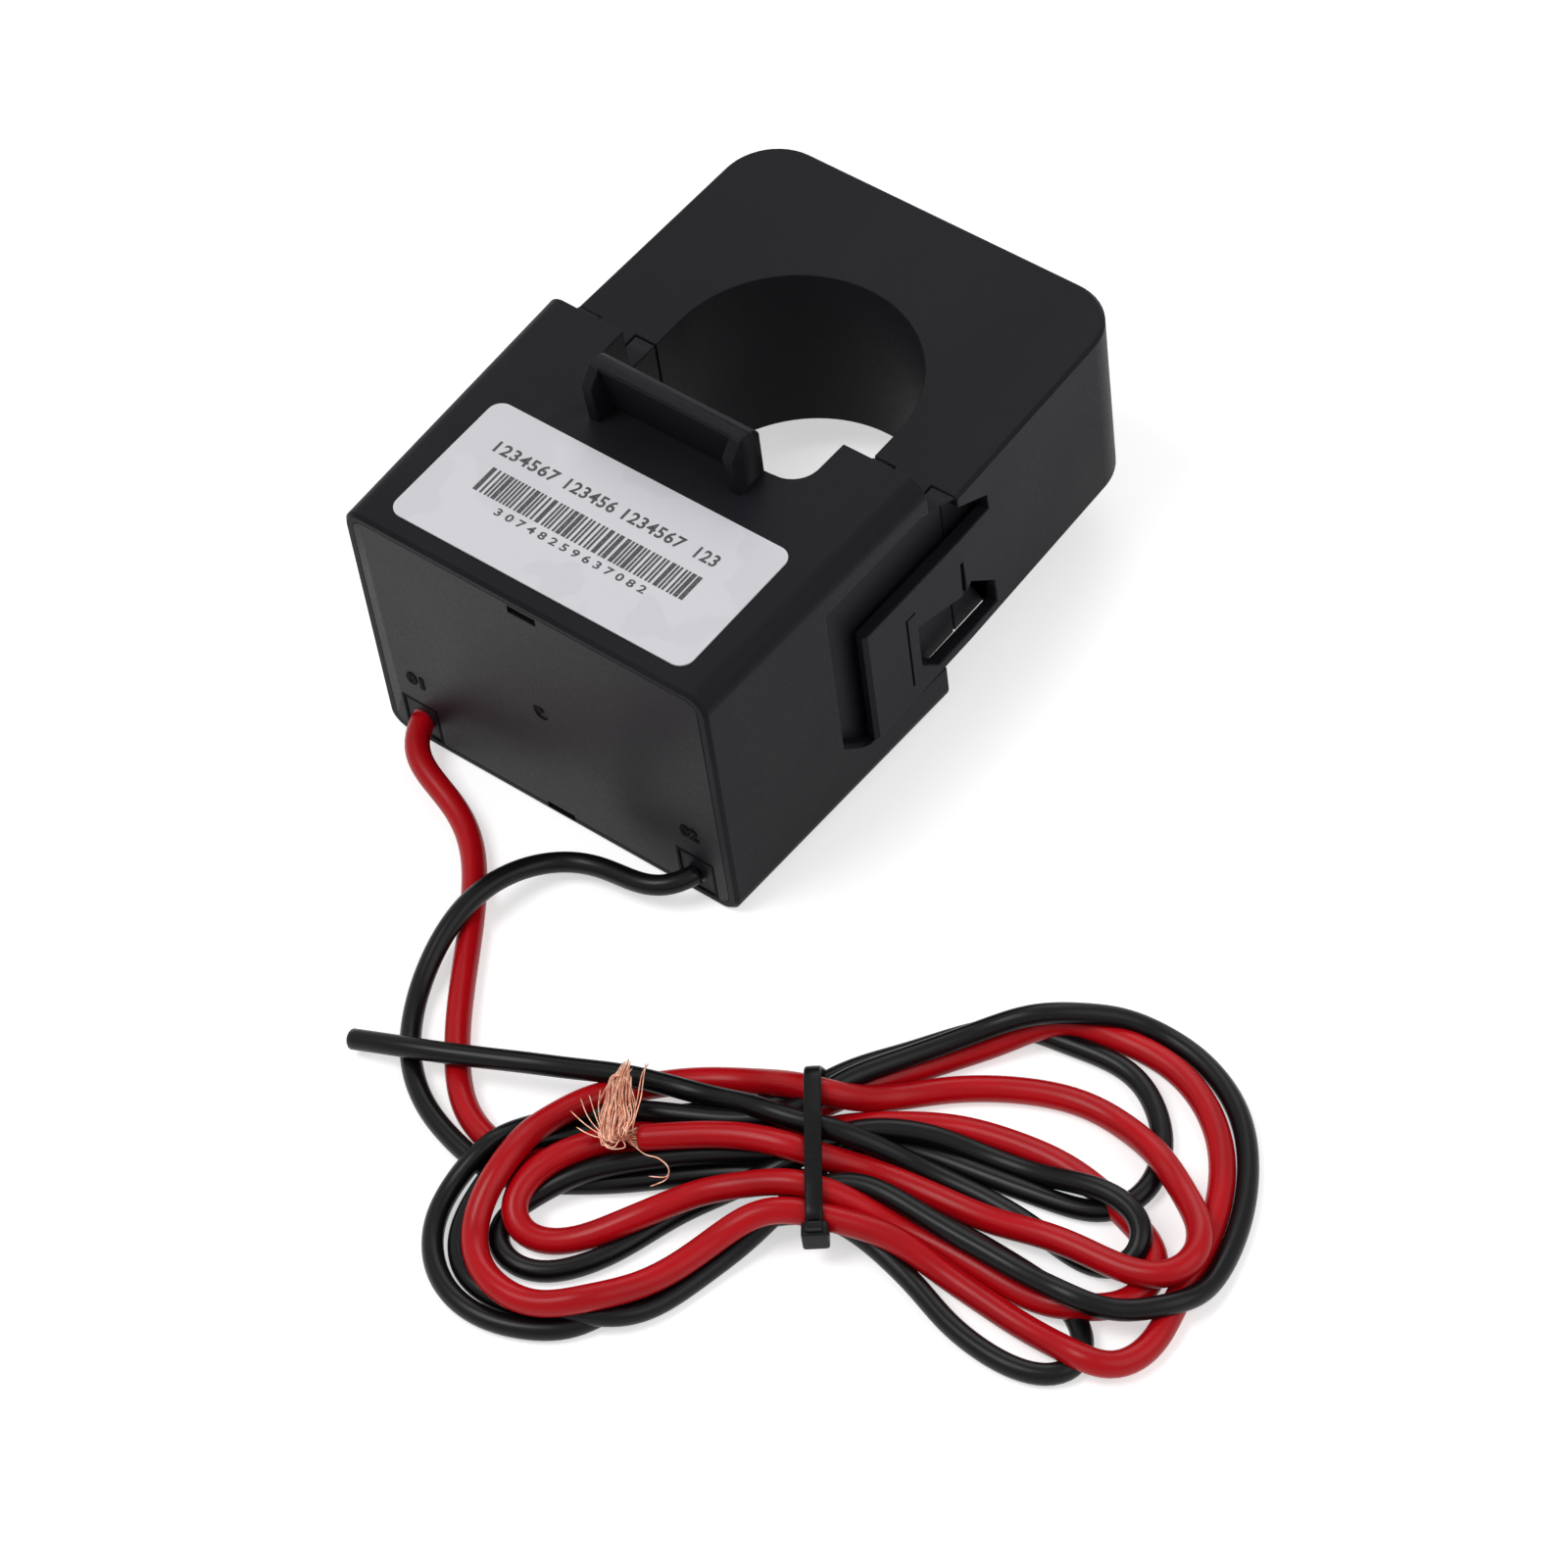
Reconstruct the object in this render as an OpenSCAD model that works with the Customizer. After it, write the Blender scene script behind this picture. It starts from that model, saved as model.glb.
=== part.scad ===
// Split-core clip-on current transformer with two flying leads tied in a hank.
// Frame: the origin is the middle of the conductor window, on its axis, half way
// through the thickness. +X is across the width, +Y points to the lift-off half,
// and +Z comes out of the labelled face. Sizes are in millimetres.

/* [Window] */
// Radius of the round end of the conductor window
window_r = 18; // [12:0.5:25]
// From the window axis to the floor of the notch in the lower half
notch_depth = 19.3; // [18:0.1:26]
// Radius of the two inside corners of the notch
notch_corner_r = 4; // [1:0.5:8]

/* [Housing lengths] */
// From the window axis to the far end of the upper half
far_reach = 34; // [26:0.5:44]
// From the window axis down to the seam between the halves
seam_drop = 5.1; // [3:0.1:9]
// Length of the neck that stands out of the collar of the lower half
neck_len = 5.2; // [4:0.1:8]
// From the collar to the lead end of the lower half
lower_len = 43.5; // [40:0.5:60]

/* [Housing sections] */
// Width of the lower half at its lead end
lower_w_lead = 59.2; // [56:0.2:80]
// Width of the lower half at its collar
lower_w_collar = 62; // [58:0.2:84]
// Thickness of the lower half
lower_t = 43.2; // [40:0.2:60]
// Radius along the long edges of the lower half
long_edge_r = 3; // [1:0.2:5]
// Width of the upper half at the seam
upper_w_seam = 62.6; // [60:0.2:84]
// Width of the upper half at its far end
upper_w_far = 60.8; // [56:0.2:80]
// Thickness of the upper half and of the neck
upper_t = 28.3; // [26:0.1:36]
// Radius of the two far corners, seen from above
far_corner_r = 8.1; // [2:0.1:14]
// Bevel round the flat faces of the upper half
face_bevel = 0.5; // [0.2:0.1:1.5]

/* [Walls] */
// Wall of the lower half above and below its cavity
wall = 2.4; // [1.5:0.1:4]
// Wall behind the floor of the notch and at the far end of the upper half
end_wall = 2.2; // [1.5:0.1:4]
// Thickness of the end cover
cover_t = 2.2; // [1.5:0.1:4]
// Width of the rim left round the end cover
cover_rim = 1.2; // [0.8:0.1:2]

/* [Core] */
// Width of a core leg
core_w = 3.8; // [3:0.1:4.2]
// Height of the core, along the window axis
core_h = 20; // [14:0.5:22]
// From the middle plane to the inside of a core leg
core_inner_x = 22.45; // [22:0.05:23]
// From the window axis to the inside of the upper limb
upper_limb_y = 24; // [22:0.5:30]
// From the seam down to where the cores meet
core_joint_drop = 11; // [8:0.5:14]
// From the core joint down to the inside of the lower limb
lower_leg_len = 16.7; // [14:0.1:24]

/* [Sleeves] */
// Wall of the sleeves round the core legs of the upper half
sleeve_wall = 0.8; // [0.5:0.1:1.5]
// Clearance of a core in its channel
core_gap = 0.15; // [0.1:0.05:0.4]
// Clearance of a sleeve in its socket, and of the seam
seam_gap = 0.2; // [0.1:0.05:0.4]

/* [Latch] */
// Thickness of a latch arm
arm_t = 1.9; // [1.2:0.1:2.2]
// How far the tip of an arm leans in from the side of the upper half
arm_lean = 0.2; // [0:0.1:0.8]
// Length of an arm past the seam
arm_len = 20.2; // [17:0.1:28]
// Height of the upper edge of an arm above the middle plane
arm_top = 6.2; // [5:0.1:10]
// From the arm's tip to its window
arm_end_bar = 10.3; // [6:0.1:11]
// Width of the rail over the window of an arm
arm_top_rail = 7.7; // [5:0.1:9]
// Width of the rail under the window of an arm
arm_bottom_rail = 2; // [1:0.1:3]
// Height of the pocket in the side of the lower half above the middle plane
pocket_top = 15.1; // [13:0.1:18]
// Wall between a pocket and the socket behind it
pocket_wall = 1; // [0.8:0.1:1.4]
// Clearance between a catch and the inside of an arm
catch_gap = 0.3; // [0.2:0.05:0.6]

/* [Tie holder] */
// Half width of the holder between its ears
holder_half = 10.6; // [6:0.1:16]
// Thickness of an ear
ear_t = 1.7; // [1:0.1:3]
// Height of the holder above the face
holder_h = 8.8; // [5:0.1:12]

/* [Winding] */
// Wall of the bobbin
bobbin_wall = 1.2; // [0.8:0.1:2]
// Thickness of the winding on the bobbin
winding_t = 5.8; // [3:0.1:6.2]
// Thickness of the tape round the winding
tape_t = 0.4; // [0.2:0.1:0.8]

/* [Leads] */
// Diameter of the red lead
red_d = 3.4; // [2.4:0.1:4]
// Diameter of the black lead
black_d = 2.8; // [2:0.1:4]
// Distance of each outlet from the middle plane
outlet_x = 23.2; // [20:0.1:28]
// Width of an outlet bush
bush_w = 5.9; // [5:0.1:8]
// Height of an outlet bush
bush_h = 6.9; // [6:0.1:9]

/* [Hidden] */
$fn = 48;
eps = 0.01;
far_edge = 1;

// Stations along Y
seam_y = -seam_drop;
collar_y = seam_y - neck_len;
lead_end_y = collar_y - lower_len;
notch_y = -notch_depth;
cover_in_y = lead_end_y + cover_t;
cavity_top_y = notch_y - end_wall;
joint_y = seam_y - core_joint_drop;
lower_limb_y = joint_y - lower_leg_len;

// Sections
table_z = -lower_t / 2;
leg_out_x = core_inner_x + core_w;
channel_in_x = core_inner_x - core_gap;
channel_out_x = leg_out_x + core_gap;
sleeve_in_x = channel_in_x - sleeve_wall;
sleeve_out_x = channel_out_x + sleeve_wall;
channel_z = core_h / 2 + core_gap;
pocket_x = sleeve_out_x + seam_gap + pocket_wall;
cavity_x = pocket_x - 1.2;
cavity_z = lower_t / 2 - wall;
cover_z = lower_t / 2 - cover_rim;
cover_x = lower_w_lead / 2 - cover_rim - 0.2;

// Latch
taper_lo_y = seam_y - arm_len - 2;
function side_x(y) = upper_w_far / 2 + (upper_w_seam - upper_w_far) / 2
    * (far_reach - y) / (far_reach - seam_y);
arm_out_x = side_x(seam_y);
arm_tip_x = arm_out_x - arm_lean;
arm_in_x = arm_out_x - arm_t;
arm_tip_y = seam_y - arm_len;
arm_root_y = seam_y + 6.3;
window_lo_z = -upper_t / 2 + arm_bottom_rail;
window_hi_z = arm_top - arm_top_rail;
window_lo_y = arm_tip_y + arm_end_bar;
window_hi_y = arm_root_y - 0.2;
slit_y = window_hi_y - 6.2;
pocket_lead_y = arm_tip_y - 4.8;
pocket_bottom = upper_t / 2 + 0.35;

// Winding stack round the lower limb
limb_mid_y = lower_limb_y - core_w / 2;
bobbin_half_x = core_inner_x - 1.8;
bobbin_in = core_gap + 0.05;
winding_in = bobbin_in + bobbin_wall;
tape_in = winding_in + winding_t;
tape_out = tape_in + tape_t;
flange_out = tape_out + 0.6;

// Outlets and inner wiring
bush_lo_z = -cover_z;
outlet_z = bush_lo_z + bush_h / 2;
bush_inner_len = 2;
tail_end_y = cover_in_y + bush_inner_len + 3.6;
splice_d = 4.4;
splice_len = 13;

// Label
label_size = [48.4, 22.4];
label_lead_gap = 2.9;
label_t = 0.2;
label_r = 2;

// Leads: the points were chosen along each lead where it lies free
red_route = [
    [-23.2, -53.8, -16.95], [-23.2, -55.6, -17], [-22.4, -57.5, -17.1], [-20.6, -59.1, -17.4],
    [-18, -60.1, -17.8], [-14.6, -60.8, -18.4], [-10.2, -62, -19.2], [-5.8, -64.9, -19.8],
    [-1.8, -69.4, -19.9], [2.2, -75, -19.9], [6.2, -81.2, -19.9], [10.2, -87.2, -19.9],
    [14.6, -92.8, -19.9], [18.8, -97, -19.9], [22.6, -99.2, -19.9]];
black_route = [
    [23.2, -53.8, -16.95], [23.2, -55.5, -16.95], [22.3, -57.3, -17.1], [20.3, -58.7, -17.3],
    [17.2, -59.2, -17.7], [13.6, -58.8, -18.3], [10, -58.8, -18.9], [6.8, -60, -19.1],
    [4.3, -62.7, -18.4], [2.6, -66.4, -17.4], [1.6, -70.8, -16.6], [1.2, -75.2, -16.7],
    [1.4, -79.6, -17.8], [2.2, -84.2, -19.4], [4.2, -89, -20.2], [7.2, -93.6, -20.2],
    [11, -97.4, -20.2], [15.8, -100.4, -20.2], [22, -102.2, -20.2]];
black_end_route = [
    [28.2, -88, -15.6], [23.4, -90.1, -16], [18, -92.4, -16.5], [12, -94.8, -17],
    [6.8, -96.4, -17.8], [1.2, -97.6, -19.6]];

// Hank of both leads, bow-tie shaped, with its waist in a cable tie
hank_top_z = -13;
hank_round = 9;
hank_waist = 26;
hank_right = [[57, -62], [66, -48], [80, -38.5], [96, -38], [110, -50], [115, -66], [114, -84],
              [104, -91.5], [78, -91]];
hank_left = [[46, -74], [36, -80], [24, -92], [21, -104], [26, -115], [36, -122], [50, -121],
             [59, -110], [65, -97]];
tie_at = [62.4, -82.2];
tie_angle = 38;
tie_w = 2.6;
tie_t = 1.1;
tie_head = [3, 3.8, 4];
strand_base = [42, -89.4];
strand_tip = [36, -84.5];

// ---- Shared shapes ----

module centred_rect(w, h, r) {
    offset(r = r)
        square([w - 2 * r, h - 2 * r], center = true);
}

// A prism along Y, from y0 to y1, of a section drawn in X and Z
module along_y(y0, y1) {
    translate([0, y1, 0])
        rotate([90, 0, 0])
            linear_extrude(height = y1 - y0)
                children();
}

// A prism along X, from x0 to x1, of a section drawn in Y and Z
module along_x(x0, x1) {
    translate([x0, 0, 0])
        rotate([90, 0, 90])
            linear_extrude(height = x1 - x0)
                children();
}

module up_z(z0, z1) {
    translate([0, 0, z0])
        linear_extrude(height = z1 - z0)
            children();
}

module both_sides() {
    children();
    mirror([1, 0, 0])
        children();
}

// A block between two opposite corners
module block(lo, hi) {
    translate(lo)
        cube(hi - lo);
}

// ---- Sweep of a lead along its route ----

function unit(v) = v / norm(v);
function tangent(p, i) = unit(p[min(i + 1, len(p) - 1)] - p[max(i - 1, 0)]);
function side_of(t) = unit(cross(t, [0, 0, 1]));
function ring(p, t, r, n) =
    let (s = side_of(t), u = cross(s, t))
    [for (k = [0 : n - 1]) p + r * (cos(360 * k / n) * s + sin(360 * k / n) * u)];

module tube(route, d, n = 8) {
    rings = len(route);
    points = [for (i = [0 : rings - 1]) each ring(route[i], tangent(route, i), d / 2, n)];
    sides = [for (i = [0 : rings - 2], k = [0 : n - 1])
        [i * n + k, i * n + (k + 1) % n, (i + 1) * n + (k + 1) % n, (i + 1) * n + k]];
    start = [[for (k = [0 : n - 1]) n - 1 - k]];
    finish = [[for (k = [0 : n - 1]) (rings - 1) * n + k]];
    polyhedron(points = points, faces = concat(sides, start, finish), convexity = 4);
}

// ---- Outlines ----

module notch_outline() {
    offset(r = notch_corner_r)
        offset(delta = -notch_corner_r)
            translate([-window_r, notch_y])
                square([2 * window_r, 2 * notch_depth]);
}

module window_outline() {
    circle(r = window_r, $fn = 96);
    translate([-window_r, seam_y - far_edge])
        square([2 * window_r, seam_drop + far_edge]);
}

// Runs on past the seam, so that an arm cut from it is flush with the side
module upper_outline() {
    taper = [[-side_x(taper_lo_y), taper_lo_y], [side_x(taper_lo_y), taper_lo_y],
             [upper_w_far / 2, far_reach], [-upper_w_far / 2, far_reach]];
    offset(r = far_corner_r)
        offset(delta = -far_corner_r)
            polygon(taper);
    intersection() {
        polygon(taper);
        translate([-upper_w_seam, taper_lo_y])
            square([2 * upper_w_seam, far_reach / 2 - taper_lo_y]);
    }
}

// U of the core: two legs and a limb with rounded outer corners
module core_outline(leg_y, limb_in_y, limb_out_y, outer_r, grow) {
    lo = min(leg_y, limb_out_y) - (leg_y < limb_out_y ? 0 : grow);
    hi = max(leg_y, limb_out_y) + (leg_y < limb_out_y ? grow : 0);
    difference() {
        intersection() {
            translate([0, (lo + hi) / 2 + (leg_y < limb_out_y ? -outer_r : outer_r)])
                centred_rect(2 * (leg_out_x + grow), hi - lo + 2 * outer_r, outer_r);
            translate([-leg_out_x - grow, lo])
                square([2 * (leg_out_x + grow), hi - lo]);
        }
        inner_lo = leg_y < limb_out_y ? leg_y - 1 : limb_in_y + grow;
        inner_hi = leg_y < limb_out_y ? limb_in_y - grow : leg_y + 1;
        translate([-core_inner_x + grow, inner_lo])
            square([2 * (core_inner_x - grow), inner_hi - inner_lo]);
    }
}

// Side pocket: level over the collar, then falling to the root of the arm
module pocket_outline(end_y, grow = 0) {
    polygon([[pocket_lead_y - grow, 4 - pocket_bottom], [pocket_lead_y - grow, pocket_top + grow],
             [seam_y - 7 + grow / 3, pocket_top + grow], [seam_y, 12.3 + grow],
             [end_y, arm_top + 2.5 + grow / 2], [end_y, -pocket_bottom],
             [arm_tip_y - 0.7, -pocket_bottom], [arm_tip_y - 1.2, 1.6 - pocket_bottom]]);
}

// ---- Lower half ----

module lower_body() {
    hull() {
        along_y(lead_end_y, lead_end_y + eps)
            centred_rect(lower_w_lead - 1, lower_t - 1, long_edge_r - 0.5);
        along_y(lead_end_y + 0.5, lead_end_y + 0.5 + eps)
            centred_rect(lower_w_lead, lower_t, long_edge_r);
        along_y(collar_y - eps, collar_y)
            centred_rect(lower_w_collar, lower_t, long_edge_r);
    }
}

module neck() {
    along_y(collar_y - 2, seam_y)
        centred_rect(upper_w_seam, upper_t, face_bevel);
}

module tie_holder() {
    top_z = lower_t / 2 + holder_h;
    base_z = lower_t / 2 - 1;
    back_r = 2.4;
    along_x(-holder_half - eps, holder_half + eps)
        polygon([[notch_y, base_z], [notch_y - 2.1, base_z], [notch_y - 2.1, lower_t / 2],
                 [notch_y - 3.7, top_z - 0.3], [notch_y - 3.4, top_z], [notch_y - back_r, top_z],
                 for (a = [15 : 15 : 90])
                     [notch_y - back_r + back_r * sin(a), top_z - back_r + back_r * cos(a)]]);
    both_sides()
        along_x(holder_half, holder_half + ear_t)
            polygon([[notch_y, base_z], [notch_y - 5.2, base_z], [notch_y - 5.7, top_z - 2.2],
                     [notch_y - 3.7, top_z], [notch_y - back_r, top_z],
                     for (a = [15 : 15 : 90])
                         [notch_y - back_r + back_r * sin(a), top_z - back_r + back_r * cos(a)]]);
}

// Stages, so that the mouth of the pocket opens like a soft edge
module lower_pocket() {
    stages = [[pocket_x, 0, pocket_x + 1.3, 0.3], [pocket_x + 1.3, 0.3, pocket_x + 3.6, 2.6],
              [pocket_x + 3.6, 2.6, pocket_x + 9, 2.6]];
    for (s = stages)
        hull() {
            along_x(s[0], s[0] + eps)
                pocket_outline(seam_y + 2, s[1]);
            along_x(s[2], s[2] + eps)
                pocket_outline(seam_y + 2, s[3]);
        }
}

// Ramp for the arm to ride over, with a steep face towards the lead end
module catch_nose() {
    nose_x = arm_in_x - arm_lean - catch_gap;
    up_z(window_lo_z + 1, window_hi_z - 2)
        polygon([[pocket_x - 0.5, window_lo_y + 1], [nose_x - 0.2, window_lo_y + 1],
                 [nose_x, window_lo_y + 1.4], [nose_x, window_lo_y + 3.4],
                 [pocket_x, slit_y - 0.6], [pocket_x - 0.5, slit_y - 0.6]]);
}

module sockets() {
    both_sides() {
        block([sleeve_in_x - seam_gap, joint_y - seam_gap, -upper_t / 2 - seam_gap],
              [sleeve_out_x + seam_gap, seam_y + 1, upper_t / 2 + seam_gap]);
        block([channel_in_x, cavity_top_y - 1, -channel_z],
              [channel_out_x, seam_y - 1, channel_z]);
    }
}

module lower_cavity() {
    along_y(cover_in_y - eps, cavity_top_y)
        centred_rect(2 * cavity_x, 2 * cavity_z, 1.5);
    along_y(lead_end_y - 1, cover_in_y)
        centred_rect(2 * cover_x, 2 * cover_z, 2);
}

module snap_slots() {
    for (z = [cover_z - 1.1, -cover_z])
        translate([0, lead_end_y, z])
            cube([4.6, 3, 1.3], center = true);
}

module lower_housing() {
    color([0.16, 0.16, 0.18])
        difference() {
            union() {
                difference() {
                    union() {
                        lower_body();
                        neck();
                    }
                    both_sides()
                        lower_pocket();
                }
                tie_holder();
                both_sides()
                    catch_nose();
            }
            up_z(-lower_t, lower_t)
                notch_outline();
            lower_cavity();
            sockets();
            snap_slots();
        }
}

module bush_outline(side) {
    translate([side * outlet_x, outlet_z])
        square([bush_w, bush_h], center = true);
}

module end_cover() {
    color([0.17, 0.17, 0.19])
        difference() {
            along_y(lead_end_y, cover_in_y)
                centred_rect(2 * cover_x - 0.2, 2 * cover_z - 0.2, 1.9);
            for (s = [-1, 1])
                along_y(lead_end_y - 1, cover_in_y + 1)
                    bush_outline(s);
            snap_slots();
            along_y(lead_end_y - 1, lead_end_y + 0.2)
                circle(r = 1.2);
        }
}

// Block seated in the cover, with a flange behind it and a bore for its lead
module outlet_bush(side, lead_d) {
    color([0.13, 0.13, 0.15])
        difference() {
            union() {
                along_y(lead_end_y + 0.1, cover_in_y)
                    translate([side * outlet_x, outlet_z])
                        translate([0, 0.1])
                            square([bush_w - 0.2, bush_h - 0.2], center = true);
                block([side * outlet_x - 3.3, cover_in_y, -cavity_z + 0.4],
                      [side * outlet_x + 3.3, cover_in_y + bush_inner_len, outlet_z + bush_h / 2 + 0.6]);
            }
            translate([side * outlet_x, 0, outlet_z])
                along_y(lead_end_y - 1, cover_in_y + bush_inner_len + 1)
                    circle(d = lead_d);
        }
}

module outlet_bush_red() {
    outlet_bush(-1, red_d);
}

module outlet_bush_black() {
    outlet_bush(1, black_d);
}

module label() {
    color([0.82, 0.82, 0.84])
        translate([0, lead_end_y + label_lead_gap + label_size[1] / 2, 0])
            up_z(lower_t / 2, lower_t / 2 + label_t)
                centred_rect(label_size[0], label_size[1], label_r);
}

// ---- Upper half ----

module upper_shell() {
    hull() {
        up_z(-upper_t / 2 + face_bevel, upper_t / 2 - face_bevel)
            upper_outline();
        up_z(-upper_t / 2, upper_t / 2)
            offset(delta = -face_bevel)
                upper_outline();
    }
}

// Tongue cut from the side of the upper half, with a window for the catch
module latch_arm() {
    difference() {
        intersection() {
            upper_shell();
            up_z(-upper_t, arm_top)
                polygon([[arm_in_x - arm_lean, arm_tip_y + 0.6], [arm_in_x - arm_lean + 0.5, arm_tip_y],
                         [arm_tip_x - 0.5, arm_tip_y], [arm_tip_x, arm_tip_y + 0.6],
                         [arm_out_x, seam_y], [arm_out_x + 2, seam_y],
                         [arm_out_x + 2, arm_root_y + 1], [arm_in_x, arm_root_y + 1],
                         [arm_in_x, seam_y]]);
        }
        along_x(arm_in_x - 1.5, arm_out_x + 2)
            polygon([[window_lo_y, window_lo_z + 2.9], [window_lo_y + 3.2, window_lo_z],
                     [window_hi_y, window_lo_z], [window_hi_y, window_lo_z + 4.2],
                     [slit_y + 1.4, window_hi_z - 1.9], [slit_y, window_hi_z - 3.1],
                     [window_lo_y, window_hi_z]]);
        // Fine grooves that frame the window
        block([arm_tip_x - 0.3, window_lo_y - 2.3, window_lo_z + 0.9],
              [arm_out_x + 1, window_lo_y - 1.9, window_hi_z + 3.3]);
        block([arm_tip_x - 0.3, window_lo_y - 2.3, window_hi_z + 3],
              [arm_out_x + 1, window_lo_y - 0.3, window_hi_z + 3.4]);
        block([arm_out_x - 1.4, slit_y - 0.5, window_hi_z - 3.2],
              [arm_out_x + 1, slit_y + 0.2, window_hi_z + 3.4]);
    }
}

module upper_pocket() {
    along_x(pocket_x, upper_w_seam)
        pocket_outline(arm_root_y);
}

// Channel for the core and its springs, open at the back
module upper_channel(gap) {
    core_outline(joint_y - 1, upper_limb_y, far_reach - end_wall, 2, gap);
}

module upper_housing() {
    color([0.16, 0.16, 0.18])
        difference() {
            union() {
                difference() {
                    upper_shell();
                    up_z(-lower_t, lower_t)
                        translate([-upper_w_seam, seam_y + seam_gap - 2 * far_reach])
                            square([2 * upper_w_seam, 2 * far_reach]);
                    both_sides()
                        upper_pocket();
                }
                both_sides() {
                    block([sleeve_in_x, joint_y, -upper_t / 2],
                          [sleeve_out_x, seam_y + 2, upper_t / 2]);
                    latch_arm();
                }
            }
            up_z(-lower_t, lower_t)
                window_outline();
            up_z(-lower_t, channel_z)
                upper_channel(core_gap);
        }
}

module upper_back_cover() {
    plate_t = 2;
    color([0.17, 0.17, 0.19]) {
        up_z(-upper_t / 2, -upper_t / 2 + plate_t)
            intersection() {
                upper_channel(0.05);
                translate([-far_reach, joint_y])
                    square([2 * far_reach, 3 * far_reach]);
            }
        both_sides()
            block([core_inner_x + 0.4, 2, -upper_t / 2 + plate_t - eps],
                  [leg_out_x - 0.4, upper_limb_y - 4, -core_h / 2]);
    }
}

module upper_core() {
    color([0.45, 0.45, 0.47])
        up_z(-core_h / 2, core_h / 2)
            core_outline(joint_y + 0.1, upper_limb_y, upper_limb_y + core_w, 1.8, 0);
}

// Bowed leaf between the limb and the far wall
module core_spring(side) {
    lo_y = upper_limb_y + core_w;
    hi_y = far_reach - end_wall;
    leaf_t = 0.5;
    half = 8;
    rise = hi_y - lo_y - leaf_t;
    function bow(x) = lo_y + rise * (1 - pow(x / half, 2));
    color([0.72, 0.72, 0.74])
        translate([side * 13, 0, 0])
            up_z(-core_h / 3, core_h / 3)
                polygon([for (x = [-half : 1 : half]) [x, bow(x)],
                         for (x = [half : -1 : -half]) [x, bow(x) + leaf_t]]);
}

module core_spring_left() {
    core_spring(-1);
}

module core_spring_right() {
    core_spring(1);
}

// ---- Inner pieces of the lower half ----

module lower_core() {
    color([0.45, 0.45, 0.47])
        up_z(-core_h / 2, core_h / 2)
            core_outline(joint_y - 0.1, lower_limb_y, lower_limb_y - core_w, 1.8, 0);
}

// A rounded rectangle round the lower limb, drawn in Y and Z
module round_limb(grow, r) {
    translate([limb_mid_y, 0])
        centred_rect(core_w + 2 * grow, core_h + 2 * grow, r);
}

module bobbin() {
    color([0.86, 0.84, 0.76])
        difference() {
            union() {
                along_x(-bobbin_half_x, bobbin_half_x)
                    round_limb(winding_in, 0.8);
                both_sides()
                    along_x(bobbin_half_x - bobbin_wall, bobbin_half_x)
                        round_limb(flange_out, 2);
            }
            along_x(-bobbin_half_x - 1, bobbin_half_x + 1)
                round_limb(bobbin_in, 0.2);
        }
}

module wrap(inner, outer, r_in, r_out) {
    reach = bobbin_half_x - bobbin_wall;
    difference() {
        along_x(-reach, reach)
            round_limb(outer, r_out);
        along_x(-reach - 1, reach + 1)
            round_limb(inner, r_in);
    }
}

module secondary_winding() {
    color([0.72, 0.38, 0.2])
        wrap(winding_in, tape_in, 0.8, 4);
}

module winding_tape() {
    color([0.85, 0.75, 0.25])
        wrap(tape_in, tape_out, 4, 4.4);
}

module coil_pad() {
    color([0.25, 0.25, 0.27])
        block([-12, cover_in_y, -9], [12, limb_mid_y - core_w / 2 - tape_out, 9]);
}

module lead_tail(side, d) {
    translate([side * outlet_x, 0, outlet_z])
        along_y(lead_end_y + 0.05, tail_end_y)
            circle(d = d);
}

module red_lead_tail() {
    color([0.8, 0.1, 0.14])
        lead_tail(-1, red_d);
}

module black_lead_tail() {
    color([0.1, 0.1, 0.11])
        lead_tail(1, black_d);
}

module splice_sleeve(side) {
    color([0.1, 0.1, 0.12])
        translate([side * outlet_x, 0, outlet_z])
            along_y(tail_end_y, tail_end_y + splice_len)
                circle(d = splice_d);
}

module splice_sleeve_red() {
    splice_sleeve(-1);
}

module splice_sleeve_black() {
    splice_sleeve(1);
}

// ---- Leads outside ----

module red_lead() {
    color([0.8, 0.1, 0.14])
        tube(red_route, red_d);
}

module black_lead() {
    color([0.1, 0.1, 0.11])
        tube(black_route, black_d);
}

module black_lead_end() {
    color([0.1, 0.1, 0.11])
        tube(black_end_route, black_d);
}

module lobe(points) {
    offset(r = hank_round)
        offset(delta = -hank_round)
            polygon(points);
}

module at_tie() {
    translate([tie_at[0], tie_at[1], 0])
        rotate([0, 0, tie_angle])
            children();
}

module tie_section(grow) {
    lo = table_z + tie_t - grow;
    hi = hank_top_z + grow;
    translate([0, (lo + hi) / 2])
        centred_rect(hank_waist + 2 * grow, hi - lo, 1 + grow);
}

module tie_band() {
    at_tie()
        rotate([0, 0, 90])
            difference() {
                along_y(-tie_w / 2, tie_w / 2)
                    tie_section(tie_t);
                along_y(-tie_w, tie_w)
                    tie_section(0);
            }
}

module lead_hank() {
    color([0.45, 0.1, 0.12])
        difference() {
            up_z(table_z, hank_top_z)
                difference() {
                    union() {
                        lobe(hank_right);
                        lobe(hank_left);
                        translate(tie_at)
                            rotate(tie_angle)
                                square([40, hank_waist], center = true);
                    }
                    translate(tie_at)
                        rotate(tie_angle)
                            for (s = [-1, 1])
                                translate([0, s * (hank_waist / 2 + 5)])
                                    square([8, 10], center = true);
                }
            at_tie()
                block([-tie_w / 2 - 0.1, -hank_waist, table_z - 1],
                      [tie_w / 2 + 0.1, hank_waist, table_z + tie_t]);
        }
}

module cable_tie_strap() {
    color([0.07, 0.07, 0.08])
        tie_band();
}

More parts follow.
